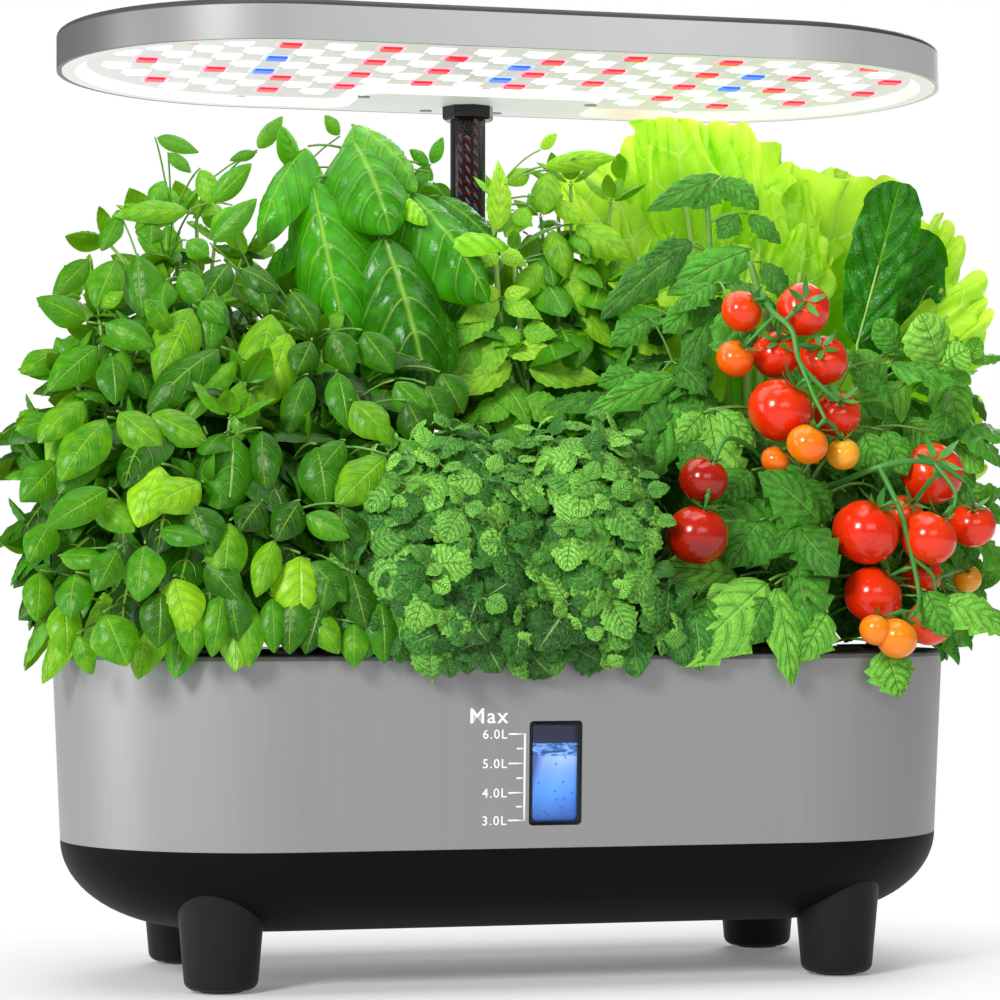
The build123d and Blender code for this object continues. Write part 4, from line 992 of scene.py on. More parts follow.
MINT_LEAVES = [
    (497, 232, 499, 163, 27, 0.8, 0), (500, 300, 461, 322, 26, 0.7, 6), (502, 300, 541, 319, 26, 0.6, 6),
    (500, 297, 478, 288, 17, 0.9, 2), (503, 297, 529, 290, 17, 0.85, 2),
    (514, 362, 436, 400, 36, 0.75, 8), (503, 352, 559, 351, 24, 0.8, 5),
    (526, 368, 601, 381, 32, 0.7, 8), (498, 252, 474, 268, 20, 0.8, 4),
    (500, 252, 526, 266, 20, 0.75, 4), (520, 330, 492, 346, 24, 0.55, 6),
    (522, 330, 556, 336, 24, 0.55, 6), (492, 306, 452, 350, 34, 0.55, 6),
    (478, 340, 448, 392, 34, 0.42, 6), (500, 330, 482, 384, 32, 0.62, 6),
    (510, 400, 470, 424, 32, 0.55, 6), (524, 398, 566, 420, 32, 0.5, 6),
    (514, 210, 532, 226, 18, 0.6, 2),
]
MINT_SHOOT_LEAVES = [
    (541, 167, 613, 158, 22, 0.82, 4), (548, 170, 544, 213, 32, 0.72, 8),
    (552, 200, 584, 224, 22, 0.92, 6), (574, 224, 627, 258, 38, 0.82, 10),
    (552, 228, 564, 276, 32, 0.64, 8), (566, 256, 584, 314, 30, 0.74, 8),
    (578, 304, 610, 346, 26, 0.77, 6), (544, 260, 520, 300, 30, 0.67, 8),
    (530, 170, 508, 184, 20, 0.77, 4), (528, 205, 506, 236, 28, 0.67, 8),
    (560, 330, 590, 350, 30, 0.62, 6), (540, 150, 556, 134, 14, 0.92, 2),
]
TOMATO_TOP_LEAVES = [
    (724, 176, 650, 209, 30, 0.3, 8), (722, 178, 757, 209, 32, 0.35, 6),
    (722, 176, 694, 208, 36, 0.35, 6), (738, 213, 719, 238, 27, 0.3, 4),
    (748, 214, 779, 243, 22, 0.23, 4), (752, 249, 671, 292, 46, 0.45, 8),
    (688, 246, 604, 316, 40, 0.11, 10), (694, 242, 645, 262, 28, 0.15, 4),
    (722, 294, 682, 382, 38, 0.19, 8), (650, 318, 612, 344, 32, 0.35, 6),
    (702, 300, 664, 332, 32, 0.45, 4), (687, 382, 642, 487, 52, 0.47, 10),
    (680, 374, 589, 415, 34, 0.55, 8), (690, 384, 716, 424, 30, 0.5, 4),
    (664, 420, 622, 462, 42, 0.3, 6), (652, 440, 604, 474, 42, 0.25, 6),
    (640, 372, 600, 384, 32, 0.4, 4), (762, 262, 788, 300, 28, 0.25, 4),
]
TOMATO_FRONT_LEAVES = [
    (708, 410, 724, 508, 58, 0.8, 6), (716, 410, 754, 446, 32, 0.75, 6),
    (704, 412, 678, 442, 30, 0.7, 4), (806, 532, 711, 520, 78, 0.28, 4),
    (822, 526, 763, 474, 48, 0.34, 4), (824, 536, 820, 613, 64, 0.3, 8),
    (750, 576, 674, 566, 42, 0.75, 6), (770, 580, 684, 664, 68, 0.8, 10),
    (772, 584, 787, 682, 34, 0.7, 6), (822, 607, 830, 669, 66, 0.78, 5),
    (824, 612, 798, 660, 42, 0.65, 4), (888, 648, 902, 696, 48, 0.7, 4),
    (936, 600, 1000, 629, 42, 0.75, 6), (712, 526, 690, 514, 15, 1.0, 2),
    (862, 432, 884, 474, 34, 0.5, 4), (764, 596, 742, 644, 44, 0.32, 2),
    (850, 600, 862, 644, 44, 0.35, 2), (704, 596, 692, 648, 40, 0.4, 2),
    (760, 520, 730, 566, 44, 0.32, 2), (800, 480, 830, 520, 40, 0.32, 2),
    (752, 470, 722, 500, 40, 0.35, 2), (800, 600, 778, 648, 40, 0.45, 2),
    (880, 590, 900, 640, 40, 0.4, 2), (922, 590, 944, 636, 38, 0.5, 2), (836, 596, 838, 648, 40, 0.3, 3),
    (866, 604, 870, 652, 40, 0.42, 3), (700, 440, 690, 488, 34, 0.3, 2),
    (770, 520, 750, 566, 44, 0.3, 2), (848, 424, 870, 470, 40, 0.42, 4),
    (884, 430, 906, 474, 36, 0.5, 4),
]
CHARD_SIDE_LEAVES = [
    (938, 366, 924, 316, 66, 0.95, 6), (940, 366, 968, 350, 40, 0.9, 4),
    (908, 382, 858, 430, 52, 0.72, 8), (904, 418, 936, 448, 36, 0.68, 6),
    (942, 366, 958, 428, 46, 0.58, 6), (882, 396, 860, 352, 42, 0.62, 4),
    (912, 440, 950, 482, 42, 0.75, 6), (884, 440, 866, 486, 40, 0.55, 4),
    (950, 440, 982, 470, 36, 0.8, 4), (930, 500, 962, 548, 40, 0.65, 4),
    (900, 350, 878, 322, 34, 0.5, 3), (960, 480, 990, 520, 38, 0.75, 4),
]
BALM_RIM_LEAVES = {
    "lemon_balm_left": [
        (350, 584, 345, 642, 34, 0.4, 4), (372, 600, 364, 656, 34, 0.62, 4),
        (394, 610, 398, 662, 32, 0.5, 4), (416, 602, 424, 654, 34, 0.3, 4),
        (440, 616, 436, 668, 34, 0.66, 4), (470, 618, 465, 672, 34, 0.44, 4),
        (500, 606, 496, 658, 34, 0.6, 4),
    ],
    "lemon_balm_right": [
        (526, 606, 522, 662, 34, 0.36, 4), (552, 618, 552, 673, 34, 0.6, 4),
        (578, 606, 584, 660, 34, 0.3, 4), (604, 618, 604, 668, 34, 0.66, 4),
        (630, 620, 632, 676, 36, 0.48, 4), (650, 596, 664, 652, 34, 0.64, 4),
        (690, 604, 697, 668, 34, 0.55, 4), (668, 612, 680, 664, 34, 0.36, 4),
        (640, 570, 654, 622, 36, 0.5, 4), (634, 466, 644, 516, 34, 0.45, 2),
        (638, 510, 648, 566, 36, 0.4, 2), (640, 430, 648, 474, 32, 0.3, 2),
    ],
}
# Big leaves of the front view: base px, py and depth, tip px, py and depth, face, width, tone, bend
BIG_BASIL_FRONT = [
    ((352, 138, 18), (388, 232, -2), (-0.1, -0.8, 0.6), 50, 0.46, 0.9),
    ((352, 124, 26), (412, 190, 12), (0.3, -0.7, 0.7), 44, 0.58, 0.9),
    ((312, 178, 14), (347, 338, -4), (-0.35, -0.9, 0.15), 42, 0.46, 0.35),
    ((382, 232, 4), (426, 395, -14), (0.0, -0.95, 0.35), 52, 0.22, 0.6),
    ((408, 190, 16), (484, 298, 4), (0.2, -0.9, 0.4), 48, 0.4, 0.6),
    ((438, 196, 36), (496, 250, 30), (0.2, -0.9, 0.4), 30, 0.3, 0.7),
    ((452, 270, 40), (478, 352, 34), (0.1, -0.9, 0.35), 34, 0.34, 0.6),
    ((308, 146, 22), (262, 240, 12), (-0.6, -0.7, 0.4), 26, 0.48, 0.9),
    ((404, 196, 8), (426, 224, 2), (0.3, -0.8, 0.5), 13, 0.98, 0.7),
    ((432, 244, 10), (506, 246, 6), (0.0, -0.5, 0.85), 18, 0.85, 1.1),
    ((300, 170, 24), (283, 128, 16), (0.0, -0.9, 0.3), 12, 0.5, 0.3),
    ((340, 300, 6), (352, 372, -6), (0.1, -0.9, 0.3), 26, 0.3, 0.5),
    ((430, 300, 8), (446, 372, -2), (0.2, -0.9, 0.35), 34, 0.35, 0.6),
]
# the same in millimetres, towards the back
BIG_BASIL_BACK = [
    ((-72, 30, 372), (-112, 46, 330), (-0.3, 0.2, 0.9), 44, 0.4, 0.9),
    ((-50, 62, 374), (-58, 116, 330), (0.0, 0.75, 0.6), 48, 0.5, 0.8),
    ((-36, 84, 384), (-40, 120, 336), (0.1, 0.85, 0.5), 46, 0.55, 0.7),
    ((-62, 76, 366), (-98, 102, 322), (-0.5, 0.6, 0.6), 46, 0.45, 0.7),
    ((-34, 60, 384), (-22, 36, 350), (0.5, -0.4, 0.75), 32, 0.6, 0.8),
    ((-30, 84, 322), (-34, 122, 268), (0.2, 0.85, 0.5), 42, 0.4, 0.7),
    ((-66, 74, 290), (-80, 116, 240), (-0.3, 0.8, 0.5), 44, 0.35, 0.7),
    ((-80, 60, 330), (-120, 78, 286), (-0.6, 0.4, 0.6), 44, 0.35, 0.8),
    ((-28, 90, 262), (-26, 122, 212), (0.2, 0.85, 0.5), 40, 0.4, 0.7),
    ((-60, 86, 230), (-62, 120, 190), (-0.1, 0.85, 0.5), 40, 0.35, 0.7),
]
# the start, middle and end of small-leaved shoots
BIG_BASIL_SHOOTS = [
    ((-44, 60, 330), (-60, 76, 366), (-74, 92, 388)), ((-38, 68, 350), (-30, 80, 378), (-22, 100, 392)),
    ((-46, 54, 230), (-60, 70, 250), (-74, 90, 262)), ((-46, 54, 240), (-30, 70, 262), (-24, 94, 276)),
    ((-46, 50, 220), (-60, 34, 240), (-66, 26, 250)),
]
# the shoot's end, its leaves' size, tone
MINT_SHOOTS = [
    ((44, 40, 388), 38, 0.45), ((66, 44, 380), 38, 0.5), ((30, 46, 372), 34, 0.5),
    ((78, 62, 392), 38, 0.5), ((52, 96, 395), 40, 0.5), ((28, 104, 372), 40, 0.45),
    ((84, 100, 372), 40, 0.45), ((60, 34, 338), 36, 0.4), ((36, 34, 330), 36, 0.45),
    ((84, 40, 320), 36, 0.4), ((26, 106, 318), 38, 0.4), ((60, 110, 320), 38, 0.4),
    ((90, 92, 300), 38, 0.4), ((40, 36, 286), 36, 0.35), ((74, 106, 262), 38, 0.35),
    ((34, 104, 258), 38, 0.35), ((12, 30, 300), 34, 0.35), ((14, 28, 255), 32, 0.3),
    ((50, 30, 240), 36, 0.25), ((84, 44, 250), 36, 0.3), ((60, 108, 215), 36, 0.35),
    ((24, 106, 210), 34, 0.35), ((86, 100, 210), 36, 0.35),
]
# Lettuce: base px, py and depth, tip px, py and depth, width, tone
LETTUCE_SHEETS = [
    ((700, 300, 52), (672, 116, 22), 80, 0.62), ((706, 300, 56), (706, 124, 30), 76, 0.55),
    ((716, 310, 60), (742, 128, 32), 72, 0.6), ((690, 300, 64), (646, 120, 34), 66, 0.58),
    ((690, 300, 80), (668, 150, 84), 110, 0.4), ((720, 310, 84), (726, 150, 86), 110, 0.4),
    ((640, 300, 66), (572, 166, 62), 74, 0.85), ((644, 300, 70), (606, 168, 68), 74, 0.8),
    ((660, 330, 48), (624, 214, 44), 84, 0.62), ((700, 340, 44), (684, 206, 40), 92, 0.55),
    ((760, 330, 50), (758, 196, 44), 84, 0.6), ((776, 320, 56), (796, 172, 50), 74, 0.66),
    ((786, 320, 60), (828, 186, 58), 70, 0.66), ((790, 340, 38), (806, 232, 30), 80, 0.5),
    ((746, 370, 34), (752, 260, 26), 80, 0.5), ((880, 330, 44), (938, 214, 48), 66, 0.74),
    ((890, 340, 40), (954, 240, 42), 60, 0.66), ((884, 366, 16), (986, 284, 6), 66, 0.66),
    ((910, 380, 30), (986, 322, 26), 70, 0.55), ((910, 440, 22), (992, 400, 24), 70, 0.62),
    ((900, 460, 18), (990, 458, 20), 80, 0.55), ((640, 430, 46), (580, 300, 46), 110, 0.55),
    ((640, 470, 40), (590, 380, 34), 110, 0.5), ((700, 430, 36), (676, 300, 26), 120, 0.42),
]
# towards the back, in millimetres: base, tip, face, width, tone
LETTUCE_BACK = [
    ((130, 74, 230), (112, 114, 396), (0.0, 0.9, 0.3), 96, 0.5),
    ((150, 76, 230), (160, 118, 406), (0.1, 0.9, 0.3), 100, 0.55),
    ((170, 74, 230), (206, 114, 392), (0.3, 0.9, 0.3), 96, 0.5),
    ((176, 72, 220), (240, 106, 356), (0.5, 0.8, 0.4), 96, 0.6),
    ((176, 66, 210), (256, 92, 300), (0.7, 0.5, 0.5), 92, 0.6),
    ((172, 74, 200), (226, 118, 286), (0.5, 0.7, 0.5), 96, 0.45),
    ((150, 76, 200), (160, 122, 300), (0.1, 0.9, 0.4), 100, 0.45),
    ((130, 76, 200), (112, 120, 296), (-0.2, 0.9, 0.4), 90, 0.45),
    ((170, 70, 186), (244, 88, 236), (0.7, 0.5, 0.6), 90, 0.5),
    ((150, 76, 186), (176, 124, 230), (0.2, 0.8, 0.6), 90, 0.5),
    ((136, 76, 186), (116, 122, 232), (-0.2, 0.8, 0.6), 84, 0.5),
    ((160, 60, 260), (200, 66, 400), (0.3, 0.5, 0.3), 96, 0.6),
    ((160, 56, 240), (236, 60, 350), (0.7, 0.1, 0.6), 92, 0.6),
    ((178, 78, 240), (212, 117, 344), (0.4, 0.85, 0.3), 92, 0.58),
]
# Fruit: centre, radius, ripeness from dark red to pale orange, the stalk's end on the truss
FRUIT = {
    "upper": [
        ((102, -60, 318), 10.2, 0.3, (109, -66, 323)), ((131, -66, 319), 12.9, 0.18, (129, -74, 320)),
        ((98, -62, 295), 9.2, 0.5, (106, -72, 306)), ((121, -54, 298), 11.6, 0.22, (118, -70, 308)),
        ((142, -62, 295), 12.4, 0.2, (134, -78, 303)), ((116, -76, 270), 15.7, 0.2, (128, -86, 288)),
        ((149, -64, 269), 11.4, 0.22, (146, -82, 283)), ((123, -95, 253), 9.9, 0.62, (132, -98, 268)),
        ((112, -80, 246), 6.8, 0.55, (126, -88, 262)), ((144, -86, 249), 8.1, 0.85, (140, -88, 266)),
    ],
    "right": [
        ((199, -60, 241), 15.4, 0.24, (196, -76, 247)), ((154, -90, 212), 16.1, 0.18, (161, -96, 226)),
        ((182, -66, 221), 9.7, 0.3, (186, -78, 230)), ((184, -94, 209), 13.6, 0.26, (195, -94, 224)),
        ((215, -72, 216), 11.4, 0.22, (212, -82, 231)), ((159, -86, 182), 14.3, 0.2, (172, -92, 196)),
        ((190, -70, 192), 9.8, 0.26, (186, -84, 204)), ((214, -68, 190), 7.0, 0.8, (206, -80, 204)),
        ((186, -90, 169), 11.4, 0.34, (183, -98, 184)), ((161, -112, 162), 9.9, 0.7, (172, -108, 174)),
        ((150, -113, 166), 7.5, 0.68, (160, -106, 178)),
    ],
    "left": [
        ((73, -92, 236), 11.6, 0.02, (78, -96, 250)), ((68, -98, 210), 14.8, 0.04, (73, -100, 228)),
    ],
}
# the group of fruit, the truss's thickness, its knots
TRUSSES = [
    (
        "upper", 1.6,
        (
            (118, -44, 322), (112, -58, 328), (114, -68, 318), (121, -78, 308), (124, -82, 292),
            (134, -86, 280), (142, -86, 274),
        ),
    ),
    ("upper", 1.2, ((124, -82, 292), (128, -90, 276), (132, -96, 264))),
    (
        "right", 1.7,
        (
            (140, -50, 232), (148, -70, 236), (162, -86, 243), (180, -88, 246), (196, -84, 243),
            (208, -82, 236),
        ),
    ),
    ("right", 1.2, ((190, -86, 245), (197, -94, 232), (196, -96, 224))),
    ("right", 1.4, ((162, -86, 243), (168, -98, 222), (174, -98, 200), (176, -102, 182), (172, -108, 174))),
    ("right", 1.0, ((174, -98, 200), (184, -98, 192), (186, -98, 184))),
    ("left", 1.4, ((142, -50, 210), (112, -64, 246), (88, -86, 256), (77, -98, 246), (72, -102, 230))),
]
# the rib's start, bow and end, the leaflets' size, tone, face
TOMATO_COMPOUND_LEAVES = [
    ((143, -52, 190), (170, -80, 186), (180, -92, 150), 34, 0.6, (0.1, -0.9, 0.4)),
    ((140, -48, 236), (170, -40, 262), (204, -44, 262), 36, 0.45, (0.3, -0.6, 0.7)),
    ((142, -50, 214), (180, -40, 226), (222, -40, 214), 36, 0.5, (0.4, -0.5, 0.7)),
    ((136, -46, 262), (160, -34, 290), (182, -36, 296), 32, 0.42, (0.2, -0.5, 0.8)),
    ((143, -52, 190), (190, -60, 190), (228, -56, 176), 34, 0.62, (0.6, -0.6, 0.5)),
    ((140, -48, 240), (120, -30, 262), (104, -34, 270), 34, 0.25, (0, -0.25, 1.0)),
    ((142, -50, 210), (124, -50, 226), (106, -48, 216), 36, 0.15, (0.0, -0.8, 0.6)),
    ((143, -52, 190), (122, -60, 200), (104, -66, 186), 36, 0.15, (0.0, -0.8, 0.6)),
    ((143, -52, 180), (136, -70, 190), (128, -78, 172), 36, 0.15, (0.0, -0.8, 0.6)),
    ((142, -50, 226), (160, -54, 236), (176, -50, 232), 34, 0.15, (0.2, -0.8, 0.6)),
]
# the tall leaf's foot and tip: px, py, depth
CHARD_TALL_FOOT, CHARD_TALL_TIP = (857, 345, 2), (900, 186, -8)
# base, tip, face, width, tone
CHARD_LEAVES = [
    ((200, 18, 290), (222, 26, 366), (0.3, 0.8, 0.3), 44, 0.4),
    ((214, 6, 226), (258, 12, 240), (0.6, -0.2, 0.8), 40, 0.55),
    ((208, 14, 220), (250, 26, 226), (0.6, 0.3, 0.8), 40, 0.55),
]
CHARD_SHOOTS = [
    (238, -24, 226), (244, 6, 300), (226, 24, 250), (176, 22, 240), (224, -24, 286), (214, 26, 320),
    (246, 24, 262), (176, -22, 220), (206, -24, 200), (236, 24, 200), (240, -6, 190),
]
# angle from the x axis, tip height, length
BASIL_END_DRAPE = [
    (-0.9, 146, 42), (-0.62, 152, 38), (-0.35, 143, 44), (-0.05, 150, 40), (0.3, 147, 42),
    (0.65, 152, 38),
]
CHARD_DRAPE = [
    (-0.75, 150, 44), (-0.4, 156, 40), (0.1, 150, 42), (0.5, 154, 40), (0.9, 152, 40),
]

BASIL = dict(rows=13, cols=9, peak=0.42, full=0.74, laterals=5.0, pucker=0.055, cup=0.50)
FINE_BASIL = dict(rows=19, cols=11, peak=0.42, full=0.72, laterals=5.0, pucker=0.055, cup=0.45, wave=0.05)
BIG_BASIL = dict(
    rows=31, cols=17, peak=0.40, full=0.50, laterals=5.0, pucker=0.060, cup=0.85, waves=1.5, crinkle=0.012,
    wave=0.05,
)
MINT = dict(rows=25, cols=7, peak=0.36, full=0.9, laterals=6.0, pucker=0.06, cup=0.15, teeth=8, tooth=0.16)
BALM = dict(
    rows=19, cols=9, peak=0.42, full=0.62, laterals=6.0, pucker=0.12, cup=0.22, teeth=6, tooth=0.26,
    crinkle=0.035,
)
LEAFLET = dict(
    rows=23, cols=11, peak=0.40, full=0.72, laterals=5.0, pucker=0.11, cup=0.35, teeth=4, tooth=0.34,
    crinkle=0.03,
)
ROUND_LEAF = dict(
    rows=17, cols=9, peak=0.48, full=0.50, laterals=4.0, pucker=0.08, cup=0.30, teeth=3, tooth=0.10,
    crinkle=0.03,
)
CHARD = dict(
    rows=45, cols=23, peak=0.60, full=0.26, laterals=6.0, pucker=0.10, teeth=5, tooth=0.09, crinkle=0.07,
    cup=-0.10, bend=0.25, wave=0.34, waves=3.4,
)


def bush(name, crown, radii, stems, size, tone, seed, lowest=-0.55):
    """A bushy herb: stems from one pod whose tips are spread over its crown."""
    rng, shape, pod = start_plant(name, seed)
    shape.stems.append(pod)
    crown, radii = np.array(crown, float), np.array(radii, float)
    for number in range(stems):
        height = 1.0 - (1.0 - lowest) * (number + 0.5) / stems
        tip = crown + radii * spiral(number, height, rng, 0.3) * rng.uniform(0.80, 0.98)
        tip[2] = max(tip[2], DECK_Z + 14)
        start = pod + (rng.uniform(-6, 6), rng.uniform(-6, 6), 0)
        reach = tip - pod
        middle = (start + tip) / 2 + (-reach[0] * 0.14, -reach[1] * 0.14, 8 + 0.12 * reach[2])
        light = tone + 0.18 * height + rng.uniform(-0.08, 0.08)
        shoot(shape, arc(start, middle, tip, 14), size, light, rng, **BASIL)
    return shape, rng


def fill(shape, rng, crown, radii, count, size, tone, form, look=0, share=0.6, low=-0.8):
    """Leaves inside a bush, so that no light shows through it; the low tones that most calls give them are
    painted shade for the bush's inside.
    """
    crown, radii = np.array(crown, float), np.array(radii, float)
    for number in range(count):
        height = low + (0.92 - low) * (number + 0.5) / count
        out = spiral(number, height, rng, 0.4)
        base = crown + radii * out * rng.uniform(0.55, 0.85)
        base[2] = max(base[2], DECK_Z + 12)
        direction = unit(out * (0.5, 0.5, 0.2) + rng.uniform(-0.5, 0.5, 3) + (0, 0, -0.55))
        face = unit(out + (0, -0.25, 0.5))
        grow = size * rng.uniform(0.85, 1.2)
        put_leaf(
            shape, base, direction, face, grow, grow * share, vary(rng, tone, -0.10, 0.14),
            stalk=0.12, look=look, bend=rng.uniform(0.3, 0.9), twist=rng.uniform(-0.3, 0.3), **form,
        )


def end_drape(shape, rng, side, places, look=0, tone=0.6, form=BASIL, share=0.55):
    """Leaves that hang over the rim at a round end: (angle from the x axis, tip height, length)."""
    for turn, tip_z, length in places:
        out = np.array([side * math.cos(turn), math.sin(turn), 0.0])
        base = np.array([side * END_X, 0, 0]) + out * (END_R + 1.0)
        base[2] = max(tip_z + length * 0.9, DECK_Z + 6)
        direction = unit(out * 0.42 + (0, 0, -0.9))
        up = unit(out * 0.9 + (0, 0, 0.42))
        if put_leaf(
            shape, base, direction, up, length, length * share, vary(rng, tone, -0.15, 0.2),
            stalk=0.0, look=look, bend=0.2, twist=rng.uniform(-0.3, 0.3), **form,
        ):
            carry(shape, base)


def sloping(y, fall, top):
    """A depth that comes forward by so much for each thousandth below a place."""
    return lambda px, py: y - fall * (py - top)


def basil_depth(px, py):
    """How far back the basil's front stands, by height and towards its left edge."""
    heights = [110, 170, 260, 350, 440, 510, 590, 690]
    by_height = np.interp(py, heights, [44, 22, -12, -46, -82, -98, -105, -108])
    return by_height + max(0.0, 110 - px) * 0.85


def tomato_front_depth(px, py):
    """How far back the tomato leaves' stalk ends stand at the front."""
    return np.interp(py, [300, 380, 480, 560, 620, 680], [-30, -52, -76, -92, -100, -106])


def build_basil(shape, name):
    """The mesh of one small-leaved basil."""
    shape.build(name + "_leaves", ["basil", "green_stem"], "deck", "basil_leaf", [name])


def plant_basils():
    """The four small-leaved basils of the left end, front to back."""
    shape, rng = bush("basil_front", (-150, -50, 214), (48, 28, 76), 18, 44, 0.20, 11, lowest=-0.75)
    from_front(shape, rng, BASIL_FRONT_LEAVES, basil_depth, FINE_BASIL)
    fill(shape, rng, (-150, -48, 214), (52, 34, 84), 90, 46, 0.06, BASIL)
    end_drape(shape, rng, -1, [(-1.30, 150, 40), (-1.05, 146, 34)])
    build_basil(shape, "basil_front")

    shape, rng = bush("basil_end", (-186, 2, 238), (44, 30, 90), 22, 46, 0.26, 12, lowest=-0.7)
    fill(shape, rng, (-180, 2, 238), (40, 32, 92), 70, 44, 0.06, BASIL)
    end_drape(shape, rng, -1, BASIL_END_DRAPE)
    from_front(shape, rng, BASIL_END_LEAVES, basil_depth, FINE_BASIL)
    build_basil(shape, "basil_end")

    shape, rng = bush("basil_middle", (-100, 4, 246), (44, 28, 72), 20, 44, 0.20, 13)
    fill(shape, rng, (-92, 2, 244), (58, 34, 86), 110, 46, 0.05, BASIL)
    from_front(shape, rng, BASIL_MIDDLE_LEAVES, basil_depth, FINE_BASIL)
    build_basil(shape, "basil_middle")

    shape, rng = bush("basil_rear", (-152, 68, 280), (54, 42, 106), 34, 46, 0.30, 14, lowest=-0.8)
    fill(shape, rng, (-146, 66, 270), (60, 44, 100), 110, 46, 0.10, BASIL)
    from_front(shape, rng, BASIL_REAR_LEAVES, basil_depth, FINE_BASIL)
    build_basil(shape, "basil_rear")


def plant_large_basil():
    """The big-leaved basil: its broad, domed leaves stand over the others."""
    rng, shape, pod = start_plant("large_basil", 21)
    knots = [pod, (-50, 48, 230), (-56, 34, 310), (-60, 30, 372), (-62, 28, 396)]
    main_stem(shape, knots, 3.2, 1.92, 0.6)
    knots = [pod + (3, 3, 0), (-40, 60, 240), (-40, 66, 320), (-38, 68, 372)]
    main_stem(shape, knots, 2.6, 1.56, 0.6)
    rows = [(seen(*base), seen(*tip), *rest) for base, tip, *rest in BIG_BASIL_FRONT]
    for base, tip, face, width, tone, bend in rows + BIG_BASIL_BACK:
        hang(shape, base, tip, face, width, tone, bend, phase=rng.uniform(0, 6), **BIG_BASIL)
    fill(shape, rng, (-52, 56, 280), (44, 40, 96), 60, 50, 0.10, BASIL)
    from_front(shape, rng, BIG_BASIL_SPRIG_LEAVES, sloping(34.0, 0.0, 0), FINE_BASIL)
    for start, middle, end in BIG_BASIL_SHOOTS:
        shoot(shape, arc(start, middle, end, 10), 42, 0.45, rng, pairs=3, radius=1.3, **BASIL)
    shape.build("large_basil_leaves", ["large", "green_stem"], "deck", "basil_leaf", ["large_basil"])


def plant_mint():
    """Two pale mint stems that lean towards the middle, and leafy shoots to their right."""
    rng, shape, pod = start_plant("mint", 31)
    knots = [pod, (30, 48, 215), (18, 38, 265), (6, 32, 317), (2, 31, 362), (1, 30, 380)]
    first = main_stem(shape, knots, 2.0, 1.2, 0.9, 8, bare_foot=True)
    knots = [pod + (4, -4, 0), (34, 44, 220), (22, 36, 275), (14, 32, 330), (12, 31, 352)]
    second = main_stem(shape, knots, 2.0, 1.2, 0.9, 8, bare_foot=True)
    for path, turn, size, tone in ((first, 0.6, 15, 0.50), (second, 1.2, 18, 0.45)):
        rosette(
            shape, path[-1], (0, -0.2, 1), turn, size, tone, rng, 0.5, rise=0.75, fold=0.2, bend=0.25,
            **MINT,
        )
    from_front(shape, rng, MINT_LEAVES, sloping(24.0, 0.02, 160), MINT)
    from_front(shape, rng, MINT_SHOOT_LEAVES, sloping(36.0, 0.05, 160), FINE_BASIL, look=2)
    for end, size, tone in MINT_SHOOTS:
        end = np.array(end, float)
        start = pod + (rng.uniform(-5, 5), rng.uniform(-5, 5), 0)
        middle = (start + end) / 2 + ((start[0] - end[0]) * 0.1, (start[1] - end[1]) * 0.1, 14)
        path = arc(start, middle, end, 14)
        shoot(shape, path, size, tone, rng, share=0.54, start=0.45, look=2, **BASIL)
    fill(shape, rng, (52, 66, 270), (44, 44, 110), 90, 40, 0.40, BASIL, look=2)
    fill(shape, rng, (6, 36, 262), (26, 12, 52), 40, 34, 0.36, MINT, share=0.5)
    fill(shape, rng, (28, 60, 334), (30, 26, 56), 44, 34, 0.50, BASIL, look=2)
    shape.build("mint_leaves", ["mint", "green_stem", "basil"], "deck", "balm_leaf", ["mint"])


def outside_box(room, low, high):
    """The same room less a box."""
    return lambda points: room(points) and not ((points > low) & (points < high)).all(1).any()


def balm_whorl(shape, rng, centre, point, normal, radii, height, layer):
    """Three crossed pairs of small toothed leaves at one tip, and the stalk under them."""
    axis = unit(normal / radii * 60 + (0, 0, 0.30))
    turn = rng.uniform(0, np.pi)
    size = rng.uniform(23, 30)
    side, other = across_of(axis)
    drawn = 0
    for pair, (share, lift) in enumerate(((1.0, 0.02), (0.74, 0.30), (0.40, 0.9))):
        for half in (0, 1):
            angle = turn + pair * np.pi / 2 + half * np.pi + rng.uniform(-0.25, 0.25)
            out = spoke(side, other, angle)
            direction = unit(spoke(out, axis, lift) + (0, 0, -0.30))
            up = unit(-np.sin(lift) * out + np.cos(lift) * axis)
            # painted shade: the inner layer's leaves are given a tone 0.42 lower
            tone = 0.54 + 0.14 * height + 0.06 * pair + rng.uniform(-0.42, 0.42) - 0.42 * layer
            drawn += put_leaf(
                shape, point + axis * (pair * 2.5 - 2.5), direction, up, size * share, size * share * 0.84,
                np.clip(tone, 0, 1), stalk=0.12, bend=rng.uniform(0.2, 0.9),
                twist=rng.uniform(-0.3, 0.3), **BALM,
            )
    if drawn and point[2] > DECK_Z + 8:
        root = centre + (point - centre) * 0.45 + (0, 0, -8)
        tube(shape, arc(root, (root + point) / 2, point, 5), 0.75, 0.2, sides=5)


